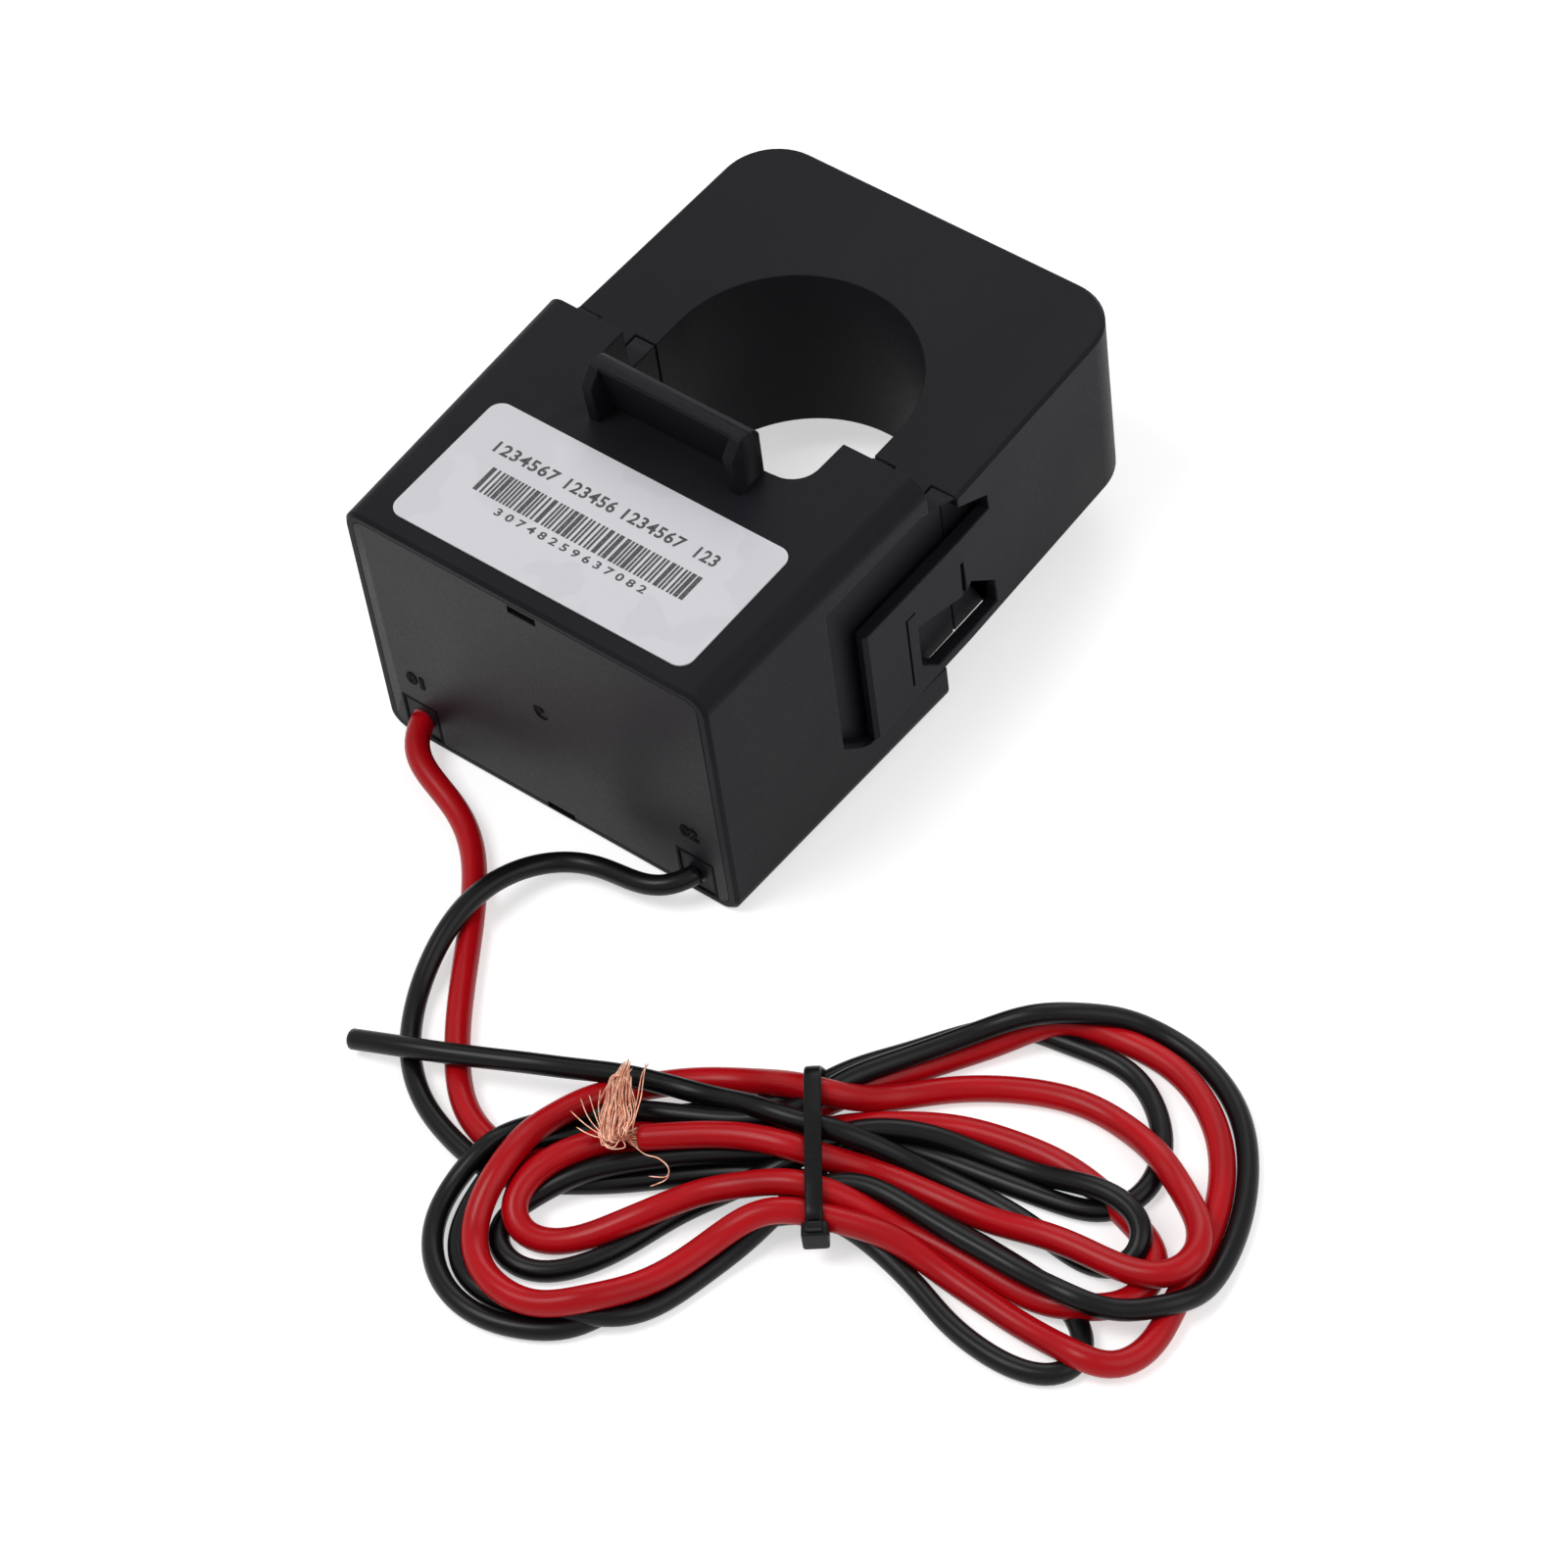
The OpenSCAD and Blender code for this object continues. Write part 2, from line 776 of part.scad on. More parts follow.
// Head on the near side of the waist, flat against the strap
module cable_tie_head() {
    color([0.07, 0.07, 0.08])
        at_tie()
            translate([-tie_head[1] / 2, -hank_waist / 2 - tie_t - tie_head[0], table_z + 0.6])
                cube([tie_head[1], tie_head[0], tie_head[2]]);
}

module copper_strands() {
    color([0.8, 0.5, 0.36])
        hull() {
            translate([strand_base[0], strand_base[1], hank_top_z])
                cylinder(h = 1.6, r = 1.5, $fn = 16);
            translate([strand_tip[0], strand_tip[1], hank_top_z])
                cylinder(h = 0.8, r = 2.6, $fn = 16);
        }
}

lower_housing();
end_cover();
outlet_bush_red();
outlet_bush_black();
label();
upper_housing();
upper_back_cover();
upper_core();
core_spring_left();
core_spring_right();
lower_core();
bobbin();
secondary_winding();
winding_tape();
coil_pad();
red_lead_tail();
black_lead_tail();
splice_sleeve_red();
splice_sleeve_black();
red_lead();
black_lead();
lead_hank();
black_lead_end();
copper_strands();
cable_tie_strap();
cable_tie_head();
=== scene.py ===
import logging
import math
from collections.abc import Callable
from dataclasses import dataclass, field
from enum import Enum

import bmesh
import bpy
import numpy as np
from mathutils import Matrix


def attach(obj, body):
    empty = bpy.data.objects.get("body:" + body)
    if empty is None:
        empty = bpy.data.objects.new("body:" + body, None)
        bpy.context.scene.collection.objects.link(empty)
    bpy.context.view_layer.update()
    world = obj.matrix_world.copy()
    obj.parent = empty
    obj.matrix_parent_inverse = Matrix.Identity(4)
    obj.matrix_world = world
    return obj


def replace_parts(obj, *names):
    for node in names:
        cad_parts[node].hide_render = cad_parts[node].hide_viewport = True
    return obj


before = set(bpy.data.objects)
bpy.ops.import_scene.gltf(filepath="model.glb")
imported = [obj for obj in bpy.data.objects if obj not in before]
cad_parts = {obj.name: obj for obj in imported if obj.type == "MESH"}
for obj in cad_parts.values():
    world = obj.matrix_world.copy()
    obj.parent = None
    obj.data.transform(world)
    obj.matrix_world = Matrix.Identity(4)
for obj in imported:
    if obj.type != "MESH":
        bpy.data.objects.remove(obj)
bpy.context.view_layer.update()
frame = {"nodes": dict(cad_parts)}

LOG = logging.getLogger("current_transformer")
MM = 0.001
TABLE_Z = -21.6
BODY_LOWER = "lower"
BODY_UPPER = "upper"

Point = tuple[float, float, float]
Colour = tuple[int, int, int]
Shape = tuple[np.ndarray, list]
Piece = bpy.types.Object
Material = bpy.types.Material
Node = bpy.types.Node
Socket = bpy.types.NodeSocket
START_EDGE = 0.002
END_EDGE = 0.15


class Side(Enum):
    """The two leads, by the colour of their jackets."""

    RED = "red"
    BLACK = "black"


# ---------------------------------------------------------------- small tools


def put(name: str, data: bpy.types.ID) -> Piece:
    """Put an object with its data in the scene, at the origin."""
    made = bpy.data.objects.new(name, data)
    bpy.context.scene.collection.objects.link(made)
    return made


def put_mesh(name: str, points: np.ndarray, faces: list, smooth: bool = True) -> Piece:
    """Make a mesh object from arrays of corners and faces.

    Args:
        name: plain name of the piece.
        points: an (n, 3) array in metres.
        faces: lists or an array of corner numbers, outwards.
        smooth: whether faces are shaded smooth.

    Returns:
        The new object.
    """
    mesh = bpy.data.meshes.new(name)
    mesh.from_pydata(np.asarray(points, float).tolist(), [], [list(map(int, f)) for f in faces])
    mesh.polygons.foreach_set("use_smooth", [smooth] * len(mesh.polygons))
    mesh.update()
    return put(name, mesh)


def dress(piece: Piece, material: Material, body: str = BODY_LOWER) -> None:
    """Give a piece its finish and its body."""
    piece.data.materials.append(material)
    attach(piece, body)


def joined(parts: list[Shape]) -> Shape:
    """Join shapes into one: the corner numbers of each go past those of the ones before it."""
    starts = np.cumsum([0] + [len(points) for points, _ in parts])
    faces = [[corner + start for corner in face] for start, (_, some) in zip(starts, parts) for face in some]
    return np.vstack([points for points, _ in parts]), faces


def grid_faces(rings: int, sides: int) -> np.ndarray:
    """Give the quads of a grid of closed rings, where a corner is ring * sides + side.

    Args:
        rings: how many rings.
        sides: how many corners in each ring.

    Returns:
        An (m, 4) array of corner numbers.
    """
    ring, side = np.meshgrid(np.arange(rings - 1), np.arange(sides), indexing="ij")
    ring, side = ring.ravel(), side.ravel()
    other = (side + 1) % sides
    return np.column_stack([ring * sides + side, ring * sides + other,
                            (ring + 1) * sides + other, (ring + 1) * sides + side])


def run_of(path: np.ndarray) -> np.ndarray:
    """Give how far along a path each of its points is."""
    return np.concatenate([[0.0], np.cumsum(np.linalg.norm(np.diff(path, axis=0), axis=1))])


def take(path: np.ndarray, run: np.ndarray, at: np.ndarray) -> np.ndarray:
    """Take the points of a path at some places, where its own points are at run."""
    return np.column_stack([np.interp(at, run, column) for column in path.T])


def resample(path: np.ndarray, step: float) -> np.ndarray:
    """Pass a smooth curve through the points and take points on it at an even step.

    The curve is the Catmull-Rom one: between b and c, with neighbours a and d, it is
    b + (c-a)t/2 + (2a-5b+4c-d)t^2/2 + (3b-3c+d-a)t^3/2.

    Args:
        path: an (n, 3) array.
        step: distance between the new points.

    Returns:
        An (m, 3) array.
    """
    ends = np.vstack([2 * path[:1] - path[1:2], path, 2 * path[-1:] - path[-2:-1]])
    a, b, c, d = ends[:-3, None], ends[1:-2, None], ends[2:-1, None], ends[3:, None]
    t = np.linspace(0.0, 1.0, 16, endpoint=False)[None, :, None]
    fine = (b + (c - a) * t / 2 + (2 * a - 5 * b + 4 * c - d) * t**2 / 2
            + (3 * b - 3 * c + d - a) * t**3 / 2)
    fine = np.vstack([fine.reshape(-1, 3), path[-1:]])
    run = run_of(fine)
    return take(fine, run, np.linspace(0.0, run[-1], max(2, int(round(run[-1] / step)) + 1)))


def carried_frame(path: np.ndarray) -> tuple[np.ndarray, np.ndarray, np.ndarray]:
    """Carry a pair of cross directions along a path with as little twist as can be.

    Args:
        path: an (n, 3) array.

    Returns:
        The tangents and two arrays of unit vectors square to them.
    """
    tangent = np.gradient(path, axis=0)
    tangent /= np.linalg.norm(tangent, axis=1)[:, None]
    first = np.empty_like(path)
    start = np.array([0.0, 0.0, 1.0]) if abs(tangent[0, 2]) < 0.9 else np.array([1.0, 0.0, 0.0])
    for i, way in enumerate(tangent):
        start = start - way * start.dot(way)
        start = start / np.linalg.norm(start)
        first[i] = start
    return tangent, first, np.cross(tangent, first)


def sweep(name: str, path: np.ndarray, radius: float, sides: int = 16) -> Piece:
    """Carry a circle along a path as a closed tube with a UV map.

    A point is path(v) + radius * (cos u * n1 + sin u * n2), and the end edges are rounded by
    a share of the radius. The UV map holds u as turns and v in metres along the path.

    Args:
        name: plain name of the piece.
        path: an (n, 3) array in metres.
        radius: the radius of the tube, in metres.
        sides: corners in each ring.

    Returns:
        The new object.
    """
    tangent, one, two = carried_frame(path)
    ease = START_EDGE * radius, END_EDGE * radius
    path = np.vstack([path[:1], path[:1] + tangent[:1] * ease[0], path[1:-1],
                      path[-1:] - tangent[-1:] * ease[1], path[-1:]])
    size = np.concatenate([[radius - ease[0]], np.full(len(one), radius), [radius - ease[1]]])
    one = np.vstack([one[:1], one, one[-1:]])
    two = np.vstack([two[:1], two, two[-1:]])
    turn = np.arange(sides) * 2 * math.pi / sides
    rings = (path[:, None] + size[:, None, None]
             * (np.cos(turn)[None, :, None] * one[:, None] + np.sin(turn)[None, :, None] * two[:, None]))
    count = len(path)
    points = np.vstack([rings.reshape(-1, 3), path[:1], path[-1:]])
    side = np.arange(sides)
    other = (side + 1) % sides
    near = np.column_stack([np.full(sides, count * sides), other, side])
    far = np.column_stack([np.full(sides, count * sides + 1),
                           (count - 1) * sides + side, (count - 1) * sides + other])
    quads = grid_faces(count, sides)
    piece = put_mesh(name, points, quads.tolist() + near.tolist() + far.tolist())
    run = run_of(path)
    ring, at = np.divmod(quads, sides)
    at = np.where((at == 0) & (quads[:, :1] % sides == sides - 1), sides, at)
    wall = np.stack([at / sides, run[ring]], axis=-1).reshape(-1, 2)
    ends = np.zeros((6 * sides, 2))
    ends[3 * sides:, 1] = run[-1]
    layer = piece.data.uv_layers.new(name="along")
    layer.data.foreach_set("uv", np.vstack([wall, ends]).ravel())
    return piece


# ---------------------------------------------------------------- the two leads

RED_IN: list[Point] = [
    (-23.2, -53.8, -16.95), (-23.2, -55.6, -17), (-22.4, -57.5, -17.1), (-20.6, -59.1, -17.4),
    (-18, -60.1, -17.8), (-14.6, -60.8, -18.4), (-10.2, -62, -19.2), (-5.8, -64.9, -19.8),
    (-1.8, -69.4, -19.9), (2.2, -75, -19.9), (6.2, -81.2, -19.9), (10.2, -87.2, -19.9), (14.6, -92.8, -19.9),
    (18.8, -97, -19.9), (22.6, -99.2, -19.9)]
BLACK_IN: list[Point] = [
    (23.2, -53.8, -16.95), (23.2, -55.5, -16.95), (22.3, -57.3, -17.1), (20.3, -58.7, -17.3),
    (17.2, -59.2, -17.7), (13.6, -58.8, -18.3), (10, -58.8, -18.9), (6.8, -60, -19.1), (4.3, -62.7, -18.4),
    (2.6, -66.4, -17.4), (1.6, -70.8, -16.6), (1.2, -75.2, -16.7), (1.4, -79.6, -17.8), (2.2, -84.2, -19.4),
    (4.2, -89, -20.2), (7.2, -93.6, -20.2), (11, -97.4, -20.2), (15.8, -100.4, -20.2), (22, -102.2, -20.2)]
BLACK_END: list[Point] = [
    (28.2, -88, -15.6), (23.4, -90.1, -16), (18, -92.4, -16.5), (12, -94.8, -17), (6.8, -96.4, -17.8),
    (1.2, -97.6, -19.6)]
RED_TURNS: list[Point] = [
    (30.5, -100, 1.5), (37, -96.5, 1.5), (43, -92, 1.5), (49, -87.5, 2), (55.5, -84, 2.5), (61, -79, 3),
    (65, -73, 2), (70.5, -68, 1.5), (77.5, -65, 1.5), (84.5, -63.5, 1.5), (92, -63.5, 1.5), (99, -64.5, 1.5),
    (105.5, -67.5, 1.5), (106.5, -74.5, 1.5), (101.5, -79.5, 4), (94.5, -81, 2.5), (87, -81.5, 1.5),
    (80, -82.5, 2), (73, -85, 3), (67.5, -88, 6.5), (60.5, -90, 5.5), (54.5, -93, 4.5), (50.5, -99.5, 4.5),
    (45.5, -104.5, 2.5), (40, -109, 2), (34.5, -108, 4), (35, -101.5, 5.5), (39, -95.5, 6.5),
    (41.5, -89.5, 3), (47, -84.5, 2), (53.5, -81, 2.5), (58.5, -76.5, 3), (60, -69, 2.5), (63.5, -62.5, 2),
    (67, -56, 3.5), (71.5, -50, 4), (76.5, -45, 3), (83, -43, 1.5), (90.5, -43, 1.5), (97, -45.5, 1.5),
    (103, -50.5, 1.5), (107, -57, 1.5), (109, -64, 1.5), (110.5, -71.5, 1.5), (112, -78.5, 1.5),
    (109, -85, 3.5), (102.5, -84.5, 2.5), (95.5, -84.5, 1.5), (88, -84.5, 1.5), (81, -86, 3), (75, -89, 4.5),
    (68, -91, 6), (62.5, -95.5, 7), (60, -102.5, 7), (56, -109, 6.5), (51.5, -114.5, 6.5), (45, -117.5, 4.5),
    (38, -116.5, 4), (33, -111.5, 5), (33, -105, 7.5), (31, -98, 6.5), (32.5, -91, 4), (35, -85, 2),
    (40, -79.5, 1.5), (46, -75.5, 2), (53, -74.5, 4.5), (59, -75.5, 8), (62.5, -71.5, 3.5), (66, -65, 2),
    (71, -60, 1.5), (77.5, -56, 1.5), (84.5, -53.5, 1.5), (92, -54, 2), (98.5, -56.5, 4),
    (104.5, -59.5, 3.5), (110, -64, 5), (109.5, -71, 5), (103.5, -72.5, 3), (96, -73, 1.5), (89, -74, 1.5),
    (81.5, -75.5, 1.5), (74, -77, 2), (67, -79.5, 2.5), (64.5, -84, 7), (57.5, -84.6, 7.5), (51, -87.2, 7.5),
    (44, -91.5, 7)]
BLACK_TURNS: list[Point] = [
    (30.5, -103.5, 1.5), (37, -100, 1.5), (43, -95.5, 1.5), (49, -91, 1.5), (55.5, -87, 2),
    (62.5, -85.5, 2.5), (69.5, -84.5, 2.5), (76, -80.5, 1.5), (83, -79, 1.5), (90.5, -78.5, 1.5),
    (98, -78.5, 1.5), (105, -81, 1.5), (106, -87.5, 1.5), (99, -90, 1.5), (91.5, -89.5, 1.5),
    (84, -88.5, 1.5), (77, -88, 2), (69.5, -88, 2.5), (64, -92.5, 2), (60.5, -99, 1.5), (57.5, -106, 1.5),
    (54, -112.5, 1.5), (49, -117.5, 1.5), (42.5, -120.5, 1.5), (35, -120, 1.5), (29, -115.5, 1.5),
    (26, -109, 1.5), (27, -102.5, 4), (28.5, -95.5, 2), (32.5, -90, 1.5), (38.5, -87.5, 4), (45.5, -85, 4.5),
    (52.5, -82, 5), (58.5, -78, 5.5), (59.5, -71, 5.5), (62.5, -64, 5), (66, -57.5, 6), (70, -51.5, 7),
    (75.5, -46.5, 7), (81, -42, 4.5), (87, -39.5, 1.5), (94, -40.5, 1.5), (101, -44, 1.5), (106, -49.5, 1.5),
    (109.5, -56, 1.5), (112, -63, 1.5), (112.5, -70, 3), (109, -75.5, 4), (103.5, -79.5, 6.5),
    (96, -80, 5.5), (89, -80.5, 4.5), (81.5, -81.5, 4.5), (74, -82, 4.5), (68, -85.5, 4.5), (65, -92.5, 4.5),
    (61.5, -99, 4), (59, -106, 3.5), (55, -112.5, 3.5), (49, -115, 2), (42, -117.5, 1.5),
    (34.5, -116.5, 1.5), (30, -110.5, 1.5), (30, -104, 3.5), (31, -97, 3), (35, -91.5, 1.5),
    (40, -86.5, 1.5), (45.5, -82, 1.5), (52.5, -78.5, 2), (56, -73, 2.5), (58, -66, 2), (61.5, -59.5, 1.5),
    (66, -53.5, 1.5), (71.5, -48.5, 1.5), (79, -46.5, 1.5), (86, -46, 1.5), (92.5, -49.5, 1.5),
    (97, -55, 1.5), (98.5, -62, 3.5), (94, -66.5, 2), (86.5, -68, 1.5), (79.5, -69.5, 1.5), (72.5, -72, 1.5),
    (66, -76, 2), (62, -82, 3), (56, -85.5, 4.5), (49.5, -88.5, 4.5), (43.5, -93.5, 4.5), (38.5, -98.5, 4),
    (34.5, -104.5, 1.5), (35.5, -111.5, 1.5), (42.5, -112.5, 1.5), (47.5, -107.5, 1.5), (50.5, -100.5, 1.5),
    (53.5, -94, 1.5), (58.5, -88.5, 2.5), (63.5, -84, 4.5), (64.5, -77, 5), (70, -71.5, 4), (76.5, -68, 3.5),
    (83.5, -66, 3.5), (91, -64.6, 4), (98, -64, 5.2), (103.4, -66, 4.6), (104, -70.4, 3), (99.4, -73.2, 1.6),
    (91.5, -72.6, 1.5), (82, -73, 1.5), (74.5, -74, 2), (68, -76.5, 4.5), (63, -79.5, 7), (55.5, -81, 8),
    (49, -80.5, 5.5), (42, -81, 3.5), (35, -84, 5)]


@dataclass
class TiedHank:
    """Both leads folded into a figure of eight on the table, tied at the waist.

    The turns are given as (x, y, height above the table) in mm. A settling loop then lays
    them: each point is drawn to its place, sinks under its weight, is kept smooth and is
    pushed off any other stretch of lead that it would run through.
    """

    step: float = 1.5
    fine_step: float = 1.0
    tie_x: float = 63.6
    tie_y: float = -81.3
    tie_way: tuple[float, float] = (0.609, -0.793)
    run_way: tuple[float, float] = (0.793, 0.609)
    strap_room: float = 1.6
    strap_reach: float = 8.0
    strap_half: float = 18.0
    pull: float = 0.14
    pull_from: float = 18.0
    pull_reach: float = 16.0
    pull_half: float = 20.0
    rounds: int = 260
    drawn: float = 0.15
    sink: float = 0.05
    smooth: Point = (0.12, 0.12, 0.3)
    near_square: float = 42.0
    own_points: int = 6
    push: float = 0.4
    haste: float = 1.5
    search_every: int = 10
    easing: int = 24
    laid: dict[Side, np.ndarray] = field(default_factory=dict)
    sizes: dict[Side, float] = field(default_factory=lambda: {Side.RED: 3.4, Side.BLACK: 2.8})

    def first_paths(self) -> dict[Side, tuple[np.ndarray, np.ndarray]]:
        """Join the routes and turns, and mark the points that stay put.

        Returns:
            For each lead its even path in mm above the table, and which points are held.
        """
        up = np.array([0.0, 0.0, -TABLE_Z])
        parts = {Side.RED: (RED_IN, RED_TURNS, []), Side.BLACK: (BLACK_IN, BLACK_TURNS, BLACK_END)}
        found = {}
        for side, (start, turns, end) in parts.items():
            way = np.vstack([np.array(start, float) + up, np.array(turns, float)]
                            + ([np.array(end, float) + up] if end else []))
            path = resample(way, self.step)
            run = run_of(way)
            at = np.linspace(0.0, run[-1], len(path))
            held = at <= run[len(start) - 1]
            if end:
                held |= at >= run[-len(end)]
            found[side] = (self.pulled_in(path, held), held)
        return found

    def at_tie(self, points: np.ndarray) -> tuple[np.ndarray, np.ndarray]:
        """Give how far points in mm lie along the runs and across them, from the tie."""
        flat = points[:, :2] - [self.tie_x, self.tie_y]
        return flat @ np.array(self.run_way), flat @ np.array(self.tie_way)

    def pulled_in(self, path: np.ndarray, held: np.ndarray) -> np.ndarray:
        """Draw the free runs towards the far side of the tie.

        A run at v across moves by -pull (v + pull_from) exp(-(s / pull_reach)^2), s along it.
        """
        along, across = self.at_tie(path)
        move = (-self.pull * (across + self.pull_from) * np.exp(-(along / self.pull_reach) ** 2)
                * (np.abs(across) < self.pull_half) * ~held)
        moved = path.copy()
        moved[:, :2] += move[:, None] * np.array(self.tie_way)
        return moved

    def lay(self) -> None:
        """Settle the turns of both leads together, and keep the paths in metres."""
        found = self.first_paths()
        place = np.vstack([found[s][0] for s in Side])
        held = np.concatenate([found[s][1] for s in Side])
        counts = [len(found[s][0]) for s in Side]
        which = np.repeat(np.arange(len(counts)), counts)
        number = np.concatenate([np.arange(n) for n in counts])
        radius = np.repeat([self.sizes[s] / 2 for s in Side], counts)
        first = place.copy()
        inner = np.ones(len(place), bool)
        inner[np.cumsum([0] + counts[:-1])] = False
        inner[np.cumsum(counts) - 1] = False
        floor = self.floor_under(place, radius)
        for turn in range(self.rounds):
            if turn % self.search_every == 0:
                one, two = self.near_pairs(place, which, number)
            place[:, :2] += self.drawn * (first[:, :2] - place[:, :2])
            place[:, 2] -= self.sink
            bend = np.zeros_like(place)
            bend[1:-1] = (place[:-2] + place[2:]) / 2 - place[1:-1]
            bend[~inner] = 0.0
            place += np.array(self.smooth) * bend
            for _ in range(2):
                self.push_apart(place, one, two, radius)
            if turn % self.search_every == 0:
                floor = self.floor_under(place, radius)
            place[:, 2] = np.maximum(place[:, 2], floor)
            place[held] = first[held]
        for i, side in enumerate(Side):
            path = resample(place[which == i], self.fine_step)
            for _ in range(self.easing):
                path[1:-1] += 0.25 * (path[:-2] + path[2:] - 2 * path[1:-1])
            path[:, 2] = np.maximum(path[:, 2], self.sizes[side] / 2)
            self.laid[side] = (path + [0.0, 0.0, TABLE_Z]) * MM

    def floor_under(self, place: np.ndarray, radius: np.ndarray) -> np.ndarray:
        """Give the lowest height of each centre: the radius, and the strap at the tie.

        The strap lifts the leads by strap_room * exp(-(s / strap_reach)^2), s along the runs.
        """
        along, across = self.at_tie(place)
        return (radius + self.strap_room * np.exp(-(along / self.strap_reach) ** 2)
                * (np.abs(across) < self.strap_half))

    def near_pairs(self, place: np.ndarray, which: np.ndarray, number: np.ndarray
                   ) -> tuple[np.ndarray, np.ndarray]:
        """Find pairs of near points that aren't close along one lead."""
        square = np.sum(place**2, axis=1)
        gap = square[:, None] + square[None] - 2 * place @ place.T
        one, two = np.nonzero(np.triu(gap < self.near_square, 1))
        apart = (which[one] != which[two]) | (np.abs(number[one] - number[two]) > self.own_points)
        return one[apart], two[apart]

    def push_apart(self, place: np.ndarray, one: np.ndarray, two: np.ndarray,
                   radius: np.ndarray) -> None:
        """Move touching points apart, each by its share of how far they overlap."""
        way = place[two] - place[one]
        far = np.linalg.norm(way, axis=1) + 1e-9
        over = radius[one] + radius[two] - far
        hit = over > 0
        push = self.push * over[hit, None] * way[hit] / far[hit, None]
        total = np.zeros_like(place)
        times = np.zeros(len(place))
        np.add.at(total, one[hit], -push)
        np.add.at(total, two[hit], push)
        np.add.at(times, one[hit], 1)
        np.add.at(times, two[hit], 1)
        place += self.haste * total / np.maximum(times, 1)[:, None]


@dataclass
class Lead:
    """One flexible lead, from its outlet to its cut end."""

    side: Side
    path: np.ndarray
    diameter: float

    def build(self, material: Material, others: list) -> Piece:
        """Args:
            material: the finish of the jacket.
            others: the pieces on the lead; not used.

        Returns:
            The lead.
        """
        piece = sweep(f"{self.side.value}_jacket", self.path, self.diameter * MM / 2)
        dress(piece, material)
        if self.side is Side.RED:
            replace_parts(piece, "red_lead", "lead_hank")
        else:
            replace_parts(piece, "black_lead", "black_lead_end")
        return piece


# ---------------------------------------------------------------- finishes


class Board:
    """A material's node tree, with short calls to put in nodes and join them."""

    def __init__(self, name: str) -> None:
        """Start an empty tree with an output and one main shader."""
        self.material = bpy.data.materials.new(name)
        self.material.use_nodes = True
        self.tree = self.material.node_tree
        self.tree.nodes.clear()
        self.out = self.tree.nodes.new("ShaderNodeOutputMaterial")
        self.shader = self.tree.nodes.new("ShaderNodeBsdfPrincipled")
        self.join(self.shader.outputs[0], self.out.inputs[0])

    def join(self, source: Socket, target: Socket) -> None:
        """Link one socket to another."""
        self.tree.links.new(source, target)

    def node(self, kind: str, sets: dict | None = None, **inputs: object) -> Node:
        """Put in a node.

        Args:
            kind: the node's type without the ShaderNode part.
            sets: properties of the node itself.
            inputs: values or sockets for its inputs, with _ for a blank.

        Returns:
            The node.
        """
        made = self.tree.nodes.new("ShaderNode" + kind)
        for key, value in (sets or {}).items():
            setattr(made, key, value)
        for key, value in inputs.items():
            self.feed(made, key.replace("_", " "), value)
        return made

    def feed(self, node: Node, name: str | int, value: object) -> None:
        """Set an input of a node to a value, or link a socket to it."""
        target = node.inputs[name]
        if isinstance(value, Socket):
            self.join(value, target)
        else:
            target.default_value = value

    def main(self, **inputs: object) -> None:
        """Set inputs of the main shader."""
        for key, value in inputs.items():
            self.feed(self.shader, key.replace("_", " "), value)

    def place(self, scale: Point = (1.0, 1.0, 1.0)) -> Socket:
        """Give Object coordinates, scaled."""
        return self.node("Mapping", Vector=self.node("TexCoord").outputs["Object"], Scale=scale).outputs[0]

    def uv(self, name: str, scale: Point = (1.0, 1.0, 1.0)) -> Socket:
        """Give a piece's own UV map, scaled."""
        layer = self.node("UVMap", {"uv_map": name})
        return self.node("Mapping", Vector=layer.outputs[0], Scale=scale).outputs[0]

    def axis(self, number: int) -> Socket:
        """Give one of the Object coordinates."""
        coord = self.node("TexCoord")
        return self.node("SeparateXYZ", Vector=coord.outputs["Object"]).outputs[number]

    def noise(self, vector: Socket, scale: float, detail: float = 2.0, rough: float = 0.5) -> Socket:
        """Give the value of a noise."""
        return self.node("TexNoise", Vector=vector, Scale=scale, Detail=detail, Roughness=rough).outputs[0]

    def ramp(self, value: Socket, low: float, high: float, to_low: float = 0.0,
             to_high: float = 1.0) -> Socket:
        """Map a value's range from low..high to to_low..to_high, held at the ends."""
        made = self.node("MapRange", {"clamp": True}, Value=value)
        for key, number in zip(("From Min", "From Max", "To Min", "To Max"), (low, high, to_low, to_high)):
            made.inputs[key].default_value = number
        return made.outputs[0]

    def mix(self, share: object, one: object, two: object) -> Socket:
        """Mix two colours."""
        made = self.node("Mix", {"data_type": "RGBA"})
        self.feed(made, 0, share)
        self.feed(made, 6, one)
        self.feed(made, 7, two)
        return made.outputs[2]

    def tint(self, value: Socket, low: float, high: float, one: Colour, two: Colour) -> None:
        """Colour the surface from one screen colour to another as a value goes from low to high."""
        self.main(Base_Color=self.mix(self.ramp(value, low, high), linear(*one), linear(*two)))

    def math(self, kind: str, one: object, two: object = 0.0) -> Socket:
        """Do a sum on one or two values."""
        made = self.node("Math", {"operation": kind})
        self.feed(made, 0, one)
        self.feed(made, 1, two)
        return made.outputs[0]

    def bump(self, height: Socket, distance: float, strength: float) -> Socket:
        """Turn a height into a surface normal."""
        return self.node("Bump", Height=height, Distance=distance, Strength=strength).outputs[0]


def linear(*colour: int) -> tuple[float, ...]:
    """Turn a screen colour of 0 to 255 into the linear one that shaders take, with an alpha of 1."""
    parts = [level / 255 for level in colour]
    return *(p / 12.92 if p <= 0.04045 else ((p + 0.055) / 1.055) ** 2.4 for p in parts), 1.0


def shaded(colour: Colour, share: float) -> Colour:
    """Make a screen colour darker or lighter."""
    return tuple(min(255, int(c * share)) for c in colour)


